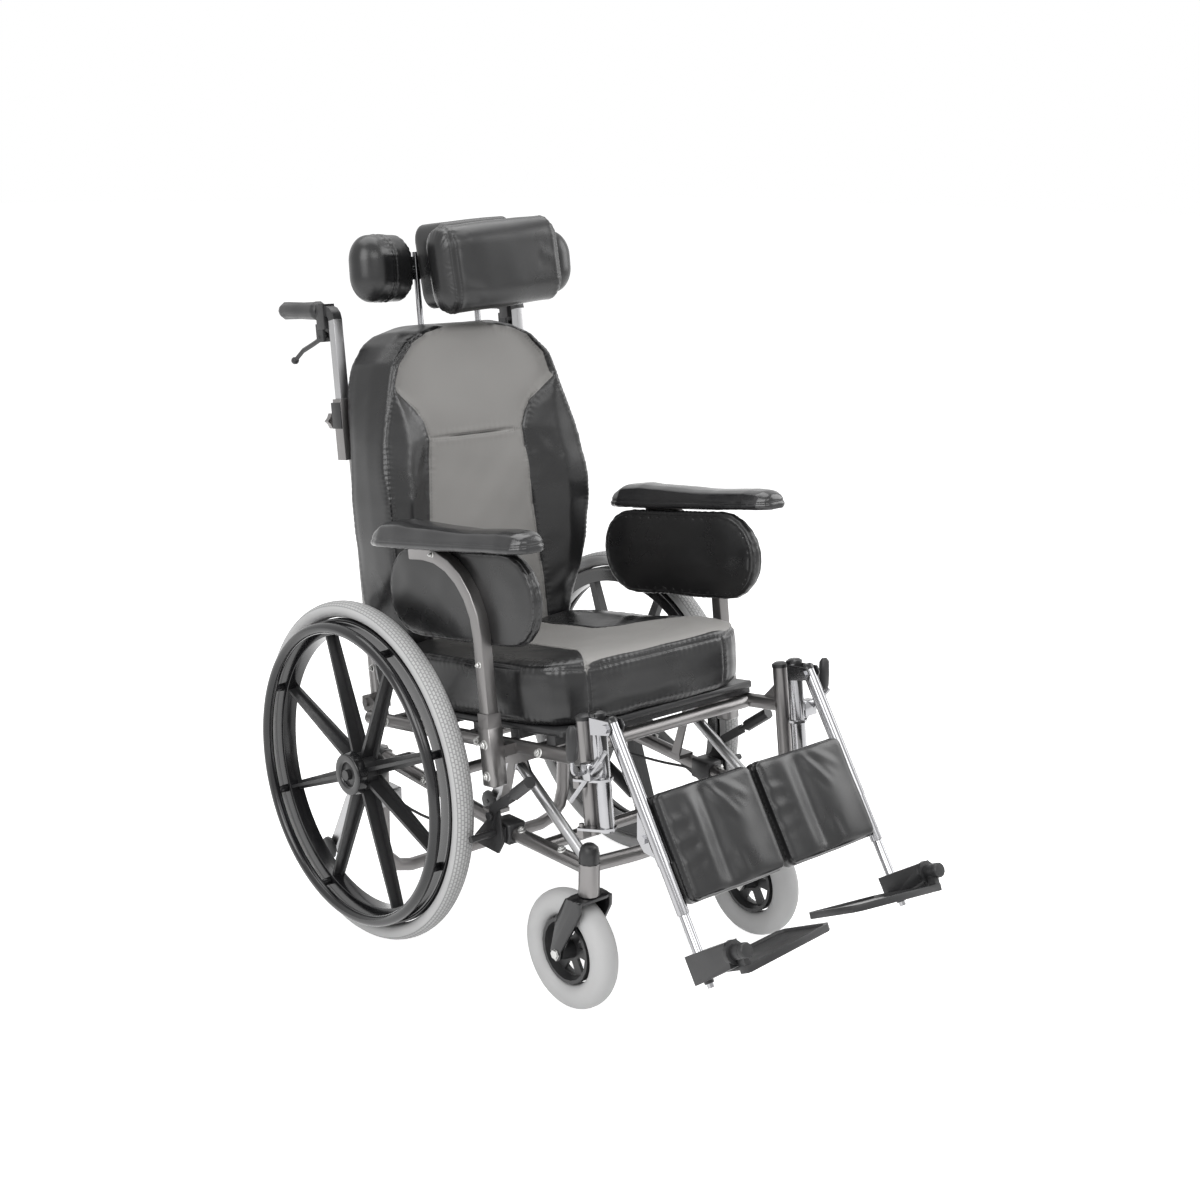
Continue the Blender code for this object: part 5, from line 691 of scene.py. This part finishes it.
def seat_cushion():
    o = remeshed("seat_cushion_soft", "seat_cushion", 0.0045, 9)
    top = SEAT_TOP
    ys = np.linspace(-0.152, 0.262, 60)
    rim = [(seat_half(y), y, top - 0.011 - 0.006 * max(0.0, 1 - (y + 0.152) / 0.03) ** 2) for y in ys]
    front = [(x, -0.152, top - 0.016) for x in np.linspace(-0.130, 0.130, 20)]
    low_rim = [(x * 1.002, y, z - 0.0865) for x, y, z in rim]
    low_front = [(x, y, z - 0.0865) for x, y, z in front]
    right_edge = ((80, 262), (80, 110), (88, 92), (110, 65), (160, 20), (190, -4), (205, -15), (222, -40))
    # Painted shadow: the grey panel's -x edge stays near the middle while its +x edge flares out to the rim, so the
    # front of the seat on the -x side stays black where the side pad and armpad cast their shadow; the seam along
    # this edge follows it
    left_edge = ((-163, -148), (-138, -114), (-100, -56), (-88, -10), (-84, 43), (-80, 110), (-80, 262))
    panel_right = [(x / 1000, y / 1000, top - 0.0075) for x, y in right_edge]
    panel_left = [(x / 1000, y / 1000, top - 0.0075) for x, y in left_edge]
    corner_right = [(-0.158, -0.149, z) for z in np.linspace(top - 0.016, top - 0.1025, 10)]
    corner_left = [(0.142, -0.152, z) for z in np.linspace(top - 0.016, top - 0.1025, 10)]
    inner = [(-0.150, -0.138, top - 0.007), (-0.190, -0.100, top - 0.007), (-0.205, -0.040, top - 0.007)]
    groups = [rim, mirrored(rim), front, low_rim, mirrored(low_rim), low_front, panel_left, panel_right,
              corner_left, corner_right, inner]
    creased(o, ((0.0009, 0.12, 11), (0.0003, 0.05, 12)))
    found = nearest_on([SEAT.world(g) for g in groups], points_of(o.data))
    sewn(o, found, seed=3)
    lines = [((0.12, -0.11, 0.16), (0.19, -0.02, 0.158), 0.7), ((-0.10, 0.0, 0.158), (-0.19, 0.05, 0.158), 0.8),
             ((0.05, -0.05, 0.158), (0.16, -0.03, 0.158), -0.6), ((0.10, 0.08, 0.158), (0.19, 0.11, 0.158), 0.7)]
    folds(o, [(*SEAT.world([a, b]), gain) for a, b, gain in lines], 0.0012, 0.009)
    p = SEAT.local(points_of(o.data))
    front_run = [(x, -0.1475) for x in np.linspace(0.126, -0.150, 30)]
    rim_run = [(seat_half(y) - 0.0045, y) for y in np.linspace(-0.040, -0.1475, 30)]
    # The grey panel in plan, leaving the painted shadow on the -x side black
    plan = [(x / 1000, y / 1000) for x, y in right_edge] + rim_run + front_run + [
        (x / 1000, y / 1000) for x, y in left_edge]
    panel = inside_plan(p[:, :2], plan)
    panel = np.minimum(panel, p[:, 2] - (top - 0.030))
    covered(o, "seat", "seat_cushion", seams=found, panel=panel)


def back_cushion():
    o = remeshed("back_cushion_soft", "back_cushion", 0.0045, 10)
    front = BACK_FRONT
    rim = [(back_half(z), front - back_bolster(z) + 0.006, z) for z in np.linspace(0.034, 0.662, 90)]
    rear = [(back_rear_half(z) + 0.001, -0.0215, z) for z in np.linspace(0.034, 0.655, 80)]
    panel_edge = [(back_panel(z), front + 0.001, z) for z in np.linspace(0.034, 0.640, 80)]
    cross = [(x, front - 0.004, 0.470) for x in np.linspace(-0.105, 0.105, 30)]
    top = [(x, front - 0.008, 0.662) for x in np.linspace(-0.055, 0.055, 12)]
    creased(o, ((0.0008, 0.14, 21), (0.0003, 0.06, 22)))
    rims = nearest_on([BACK.world(s) for s in (rim, mirrored(rim), top)], points_of(o.data))
    rest = nearest_on([BACK.world(s) for s in (rear, mirrored(rear), panel_edge, mirrored(panel_edge), cross)],
                      points_of(o.data))
    sewn(o, rest, seed=5)
    sewn(o, rims, pucker=0.00035, pitch=0.009, seed=6)
    lines = [((0.19, -0.13, 0.20), (0.13, -0.12, 0.15), 0.9), ((-0.19, -0.13, 0.21), (-0.13, -0.12, 0.14), 0.9),
             ((-0.235, -0.09, 0.14), (-0.225, -0.03, 0.11), 1.0), ((-0.235, -0.10, 0.22), (-0.23, -0.03, 0.19), 0.8),
             ((0.16, -0.13, 0.40), (0.13, -0.12, 0.46), 0.6), ((-0.16, -0.13, 0.40), (-0.13, -0.12, 0.46), 0.6)]
    folds(o, [(*BACK.world([a, b]), gain) for a, b, gain in lines], 0.0014, 0.008)
    p = BACK.local(points_of(o.data))
    ahead = -(normals_of(o.data) @ BACK.rear)
    panel = back_panel(p[:, 2]) - np.abs(p[:, 0])
    panel = np.where((ahead > 0.1) & (p[:, 1] < -0.08), panel, -0.01)
    covered(o, "back", "back_cushion", seams=nearest_of(rims, rest), panel=panel)


def pad_frame(node, axes):
    """A pad's middle and half sizes in a unit's own axes."""
    low, high = (f(axes.local(points_of(NODES[node].data)), axis=0) for f in (np.min, np.max))
    return (low + high) / 2, (high - low) / 2


def boxed_pad(name, node, axes, axis, voxel, relax, inset, creases, **settings):
    """A boxed pad with a seam round each of its two faces; axis is across its thickness."""
    o = remeshed(name, node, voxel, relax)
    middle, half = pad_frame(node, axes)
    way = np.array([(1.0, 0.0, 0.0), axes.rear, axes.up])[axis]
    share = (axes.local(points_of(o.data)) - middle) / half
    dome = (1 - np.clip(share[:, axis - 2] ** 2, 0, 1)) * (1 - np.clip(share[:, axis - 1] ** 2, 0, 1))
    shifted(o, points_of(o.data) + (0.0022 * dome * np.sign(share[:, axis]))[:, None] * way)
    creased(o, creases)
    points, normals = points_of(o.data), normals_of(o.data)
    found = hoops(points, axes.world([middle])[0], way, (half[axis] - inset, inset - half[axis]))
    d = np.where(np.abs(normals @ way) < 0.93, found[0], 1.0)
    sewn(o, (d, found[1]), **settings)
    return o, (d, found[1])


def grid_box(counts):
    """A welded box from -1 to 1, cut into this many cells along each axis: its points and its faces."""
    verts, faces, seen = [], [], {}

    def at(p):
        key = tuple(round(v * 4096) for v in p)
        if key not in seen:
            seen[key] = len(verts)
            verts.append(p)
        return seen[key]

    for axis in range(3):
        u, v = (axis + 1) % 3, (axis + 2) % 3
        us, vs = np.linspace(-1, 1, counts[u] + 1), np.linspace(-1, 1, counts[v] + 1)
        for end in (-1.0, 1.0):
            for i in range(counts[u]):
                for j in range(counts[v]):
                    corners = []
                    for a, b in ((i, j), (i + 1, j), (i + 1, j + 1), (i, j + 1)):
                        p = [0.0, 0.0, 0.0]
                        p[axis], p[u], p[v] = end, us[a], vs[b]
                        corners.append(at(tuple(p)))
                    faces.append(corners if end > 0 else corners[::-1])
    return np.array(verts), faces


def stuffed(middle, half, radius, cell=0.0028, crown=(0.0, 0.0, 0.0), profile=None):
    """A filled form: a box with rounded corners, domed sides, and a profile pressed into its front."""
    half, radius = np.array(half), np.array(radius)
    verts, faces = grid_box([max(6, int(2 * h / cell)) for h in half])
    p = verts * half
    core = np.clip(p, radius - half, half - radius)
    d = (p - core) / radius
    p = core + d / np.maximum(np.linalg.norm(d, axis=1), 1e-9)[:, None] * radius
    share = np.clip(p / half, -1.0, 1.0)
    for axis in range(3):
        u, v = (axis + 1) % 3, (axis + 2) % 3
        dome = (1 - share[:, u] ** 2) * (1 - share[:, v] ** 2)
        p[:, axis] += crown[axis] * dome * share[:, axis]
    if profile is not None:
        p[:, 1] += profile(share) * (share[:, 1] < 0.0)
    return p + np.array(middle), faces


def sewn_form(name, shapes):
    """One mesh from several stuffed forms."""
    verts, faces = [], []
    for points, cells in shapes:
        base = len(verts)
        verts.extend(map(tuple, points))
        faces.extend([base + i for i in f] for f in cells)
    mesh = bpy.data.meshes.new(name)
    mesh.from_pydata(verts, [], faces)
    return linked(name, mesh)


def turned_frame(node, axes, about, degrees):
    """A pad's own directions as rows, turned about one of a unit's axes, and its low and high corners there."""
    a = radians(degrees)
    rows = np.array([(1.0, 0.0, 0.0), axes.rear, axes.up])
    u, v = (about + 1) % 3, (about + 2) % 3
    turned = rows.copy()
    turned[u] = rows[u] * cos(a) + rows[v] * sin(a)
    turned[v] = rows[v] * cos(a) - rows[u] * sin(a)
    local = (points_of(NODES[node].data) - axes.origin) @ turned.T
    return turned, local.min(0), local.max(0)


def best_frame(node, axes, about, degrees):
    """The frame, of two opposite turns, in which the pad is smallest."""
    found = [turned_frame(node, axes, about, way * degrees) for way in (1.0, -1.0)]
    return min(found, key=lambda f: np.prod(f[2] - f[1]))


def pillow():
    rows, low, high = best_frame("headrest_pillow", BACK, 1, 4.0)
    x, z = (low[0] + high[0]) / 2, (low[2] + high[2]) / 2
    front = stuffed((x, low[1] + 0.041, z - 0.004), (0.129, 0.036, 0.0735), (0.024, 0.032, 0.038),
                    crown=(0.003, 0.004, 0.002))
    rear = stuffed((x, high[1] - 0.045, z + 0.004), (0.084, 0.044, 0.0735), (0.018, 0.016, 0.030), 0.004)
    o = sewn_form("headrest_pillow_soft", [front, rear])
    shifted(o, points_of(o.data) @ rows + BACK.origin)
    creased(o, ((0.0006, 0.15, 31), (0.00015, 0.06, 32)))
    middle = np.array([x, low[1] + 0.041, z - 0.004]) @ rows + BACK.origin
    found = hoops(points_of(o.data), middle, rows[0], (-0.112, 0.117))
    sewn(o, found, 0.0016, 0.0024, 0.0009, 0.0005, 0.009, 33)
    folds(o, [(middle + (rows.T @ a), middle + (rows.T @ b), gain) for a, b, gain in (
        ((-0.105, -0.04, -0.03), (-0.05, -0.04, -0.045), 0.8), ((-0.108, -0.04, 0.04), (-0.07, -0.04, 0.05), 0.6),
        ((0.11, -0.04, 0.0), (0.07, -0.04, 0.01), 0.5))], 0.0012, 0.008)
    covered(o, "headrest", "headrest_pillow", seams=found)


def wing(side, way):
    node = f"headrest_wing_{side}"
    rows, low, high = best_frame(node, BACK, 2, 18.0)
    end = (high if way > 0 else low)[0]
    middle = np.array((end - way * 0.066, high[1] - 0.0345, (low[2] + high[2]) / 2))
    form = stuffed(middle, (0.0655, 0.0345, 0.0565), (0.034, 0.033, 0.044), crown=(0.002, 0.003, 0.001))
    leaf = stuffed(middle - (way * 0.045, -0.0005, 0.0), (0.0265, 0.0018, 0.018), (0.001, 0.001, 0.001), 0.006)
    o = sewn_form(f"{node}_soft", [form, leaf])
    shifted(o, points_of(o.data) @ rows + BACK.origin)
    creased(o, ((0.0006, 0.10, 41), (0.00015, 0.05, 42)))
    found = hoops(points_of(o.data), middle @ rows + BACK.origin, rows[0], (-way * 0.046, way * 0.006))
    sewn(o, found, 0.0018, 0.0026, 0.0010, 0.0005, 0.009, 43)
    covered(o, node, node, seams=found)


def calf_face(share):
    """A narrow and a broad upright roll with a valley between them, fading out towards the seams."""
    x = share[:, 0]
    rolls = np.exp(-((x - 0.36) / 0.33) ** 2) + 0.9 * np.exp(-((x + 0.46) / 0.17) ** 2)
    return (0.0040 * np.exp(-((x + 0.15) / 0.15) ** 2) - 0.0042 * rolls) * (1.0 - np.abs(share[:, 2]) ** 6)


def calf_pad(side, way, seed):
    node = f"calf_pad_{side}"
    middle = np.array((way * 0.10725, -0.0030, -0.2020))
    half = (0.1010, 0.0190, 0.0855)
    o = sewn_form(f"{node}_soft", [stuffed(middle, half, (0.013, 0.0095, 0.013), 0.0025,
                                           (0.0, 0.0010, 0.0), calf_face)])
    shifted(o, KNEE.world(points_of(o.data)))
    creased(o, ((0.0006, 0.10, seed), (0.00018, 0.04, seed + 1)))
    points, normals = points_of(o.data), normals_of(o.data)
    d, along = hoops(points, KNEE.world([middle])[0], KNEE.rear, (-0.0118, 0.0118))
    found = (d + 0.03 * np.clip(np.abs(normals @ KNEE.rear) - 0.80, 0.0, 1.0), along)
    sewn(o, found, depth=0.0016, width=0.0022, swell=0.0009, pucker=0.0, seed=seed)
    x, y, z = middle
    w, y, h = half[0], y - half[1], half[2]
    lines = [((x - w * 0.05, y, z + h * 0.92), (x + w * 0.42, y, z + h * 0.10), 0.9),
             ((x - w * 0.98, y, z + h * 0.45), (x - w * 0.55, y, z + h * 0.42), 0.8),
             ((x - w * 0.98, y, z + h * 0.05), (x - w * 0.52, y, z + h * 0.10), 0.9),
             ((x - w * 0.98, y, z - h * 0.35), (x - w * 0.50, y, z - h * 0.20), 0.7),
             ((x + w * 0.15, y, z + h * 0.95), (x + w * 0.75, y, z + h * 0.45), 0.6),
             ((x + w * 0.2, y, z - h * 0.95), (x + w * 0.1, y, z - h * 0.35), 0.7)]
    folds(o, [(*KNEE.world([a, b]), gain) for a, b, gain in lines], 0.0012, 0.0060)
    covered(o, node, node, seams=found)

    plate = stuffed((way * 0.1113, 0.0170, -0.202), (0.0857, 0.0030, 0.061), (0.002, 0.001, 0.002), 0.02)
    verts, faces = [tuple(p) for p in plate[0]], list(plate[1])
    outline = ((0.013, -0.193), (0.040, -0.184), (0.047, -0.173), (0.040, -0.162), (0.013, -0.153))
    base, count = len(verts), len(outline)
    for x in (0.2025, 0.2055):
        verts.extend((way * x, y, z) for y, z in outline)
    faces.append([base + i for i in range(count)])
    faces.append([base + count + i for i in reversed(range(count))])
    faces.extend([base + i, base + count + i, base + count + (i + 1) % count, base + (i + 1) % count]
                 for i in range(count))
    bracket = solid(f"calf_plate_{side}", verts, faces, ZINC)
    bracket.data.polygons.foreach_set("use_smooth", np.full(len(bracket.data.polygons), False))
    shifted(bracket, KNEE.world(points_of(bracket.data)))
    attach(bracket, node)


def armpad(side, seed):
    node = f"armpad_{side}"
    o = remeshed(f"{node}_soft", node, 0.0030, 6)
    middle, half = pad_frame(node, SEAT)
    creased(o, ((0.0006, 0.09, seed), (0.0002, 0.04, seed + 1)))
    found = hoops(points_of(o.data), SEAT.world([middle])[0], SEAT.up, (0.0125 - half[2],))
    sewn(o, found, 0.0012, 0.0022, 0.0004, 0.0, 0.01, seed)
    covered(o, f"armrest_{side}", node, ARM_SKIN)


seat_cushion()
back_cushion()
pillow()
for (side, way), seed in zip(SIDES, (60, 80)):
    wing(side, way)
    calf_pad(side, way, seed)
    armpad(side, seed + 3)
    pad_side, sides_found = boxed_pad(f"side_pad_{side}_soft", f"side_pad_{side}", SEAT, 0, 0.0032, 3, 0.0065,
                                      ((0.0008, 0.11, seed + 5), (0.0002, 0.045, seed + 6)),
                                      depth=0.0018, pucker=0.0004, seed=seed + 7)
    covered(pad_side, f"armrest_{side}", f"side_pad_{side}", seams=sides_found)


# Fasteners, each set on the face that a ray from outside meets
def fasteners(name, node, body, rays, size=0.0062):
    """A washer, a hexagon head and a screw end on each face that a ray meets."""
    source = bmesh.new()
    source.from_mesh(NODES[node].data)
    tree = BVHTree.FromBMesh(source)
    source.free()
    verts, faces, tread = [], [], []
    for start, way in rays:
        spot, normal, _, _ = tree.ray_cast(Vector(start), Vector(way))
        if spot is None:
            continue
        rod(verts, faces, tread, spot - normal * 0.0012, spot + normal * 0.0010, size * 1.35, size * 1.35, 20)
        rod(verts, faces, tread, spot + normal * 0.0008, spot + normal * 0.0052, size, size, 6)
        rod(verts, faces, tread, spot + normal * 0.0045, spot + normal * 0.0072, size * 0.52, size * 0.52, 12)
    o = solid(name, verts, faces, ZINC)
    o.data.polygons.foreach_set("use_smooth", np.full(len(o.data.polygons), False))
    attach(o, body)


def from_side(way, axes, spots):
    """Rays that come in level from one side, at places in a unit's own y and z."""
    return [(axes.world([(way * 0.5, y, z)])[0], (-way, 0.0, 0.0)) for y, z in spots]


LEVEL = Axes((0.0, AXLE_Y, 0.0), 0.0)
for side, way in SIDES:
    fasteners(f"seat_bolts_{side}", "seat_frame", "seat",
              from_side(way, SEAT, ((-0.0265, -0.022), (-0.0265, 0.030), (0.060, 0.015), (0.200, 0.015),
                                    (-0.100, 0.015), (0.330, 0.015))))
    fasteners(f"base_bolts_{side}", "base_frame", "base",
              from_side(way, LEVEL, ((-0.430, 0.268), (-0.340, 0.275), (-0.160, 0.284), (-0.080, 0.289))), 0.0055)
    fasteners(f"back_bolts_{side}", "back_frame", "back",
              from_side(way, BACK, ((0.0, 0.060), (0.0, 0.230))), 0.0052)
    fasteners(f"arm_screws_{side}", f"armrest_post_{side}", f"armrest_{side}",
              from_side(way, SEAT, ((-0.0265, 0.160),)) + from_side(way, SEAT, ((0.075, 0.334),)), 0.0040)


# Camera, floor and light
SCENE = bpy.context.scene
camera = bpy.data.objects.new("camera", bpy.data.cameras.new("camera"))
SCENE.collection.objects.link(camera)
azimuth, elevation, roll = radians(-41.7154), radians(14.5585), radians(0.7409)
behind = Vector((sin(azimuth) * cos(elevation), -cos(azimuth) * cos(elevation), sin(elevation)))
level = Vector((cos(azimuth), sin(azimuth), 0.0))
above = behind.cross(level)
right = level * cos(roll) + above * sin(roll)
up = above * cos(roll) - level * sin(roll)
turn = Matrix((right, up, behind)).transposed().to_4x4()
camera.matrix_world = Matrix.Translation((-1.87474, -2.13467, 1.34245)) @ turn
camera.data.sensor_width = 36.0
camera.data.lens = 51.373
camera.data.clip_start = 0.05
SCENE.camera = camera
SCENE.view_settings.view_transform = "Standard"


def lit_for_camera(tree, dim, bright, output):
    """Shows the bright shader to camera, glossy and transmission rays, and the dim one to all others."""
    path = tree.nodes.new("ShaderNodeLightPath")
    seen = path.outputs["Is Camera Ray"]
    for kind in ("Is Glossy Ray", "Is Transmission Ray"):
        either = tree.nodes.new("ShaderNodeMath")
        either.operation = "MAXIMUM"
        tree.links.new(seen, either.inputs[0])
        tree.links.new(path.outputs[kind], either.inputs[1])
        seen = either.outputs[0]
    mix = tree.nodes.new("ShaderNodeMixShader")
    tree.links.new(seen, mix.inputs[0])
    tree.links.new(dim, mix.inputs[1])
    tree.links.new(bright, mix.inputs[2])
    tree.links.new(mix.outputs[0], output)


floor_mesh = bpy.data.meshes.new("floor")
floor_mesh.from_pydata([(-40, -40, 0), (40, -40, 0), (40, 40, 0), (-40, 40, 0)], [], [(0, 1, 2, 3)])
floor = bpy.data.objects.new("floor", floor_mesh)
SCENE.collection.objects.link(floor)
paper = bpy.data.materials.new("studio_floor")
paper.use_nodes = True
tree = paper.node_tree
tree.nodes.remove(tree.nodes["Principled BSDF"])
matt = tree.nodes.new("ShaderNodeBsdfDiffuse")
matt.inputs["Color"].default_value = (0.86, 0.86, 0.86, 1.0)
glow = tree.nodes.new("ShaderNodeEmission")
glow.inputs["Strength"].default_value = 0.84
both = tree.nodes.new("ShaderNodeAddShader")
tree.links.new(matt.outputs[0], both.inputs[0])
tree.links.new(glow.outputs[0], both.inputs[1])
lit_for_camera(tree, matt.outputs[0], both.outputs[0], tree.nodes["Material Output"].inputs["Surface"])
floor_mesh.materials.append(paper)

world = bpy.data.worlds.new("studio")
world.use_nodes = True
tree = world.node_tree
dim = tree.nodes["Background"]
dim.inputs["Color"].default_value = (1.0, 1.0, 1.0, 1.0)
dim.inputs["Strength"].default_value = 0.30
white = tree.nodes.new("ShaderNodeBackground")
white.inputs["Color"].default_value = (1.0, 1.0, 1.0, 1.0)
white.inputs["Strength"].default_value = 1.0
lit_for_camera(tree, dim.outputs[0], white.outputs[0], tree.nodes["World Output"].inputs["Surface"])
SCENE.world = world


def area_light(name, location, target, size, power):
    lamp = bpy.data.lights.new(name, "AREA")
    lamp.shape = "RECTANGLE"
    lamp.size, lamp.size_y = size
    lamp.energy = power
    o = bpy.data.objects.new(name, lamp)
    SCENE.collection.objects.link(o)
    o.location = location
    o.rotation_euler = (Vector(location) - Vector(target)).to_track_quat("Z", "Y").to_euler()


area_light("key", (-3.0, -1.1, 2.7), (0, 0, 0.6), (2.4, 2.6), 88)
area_light("fill", (3.2, -1.2, 2.4), (0, 0, 0.6), (2.2, 2.6), 60)
area_light("front", (-0.3, -3.4, 3.2), (0, 0, 0.5), (2.6, 1.6), 40)
area_light("top", (0.2, 0.8, 3.4), (0, 0, 0.5), (3.0, 2.2), 56)
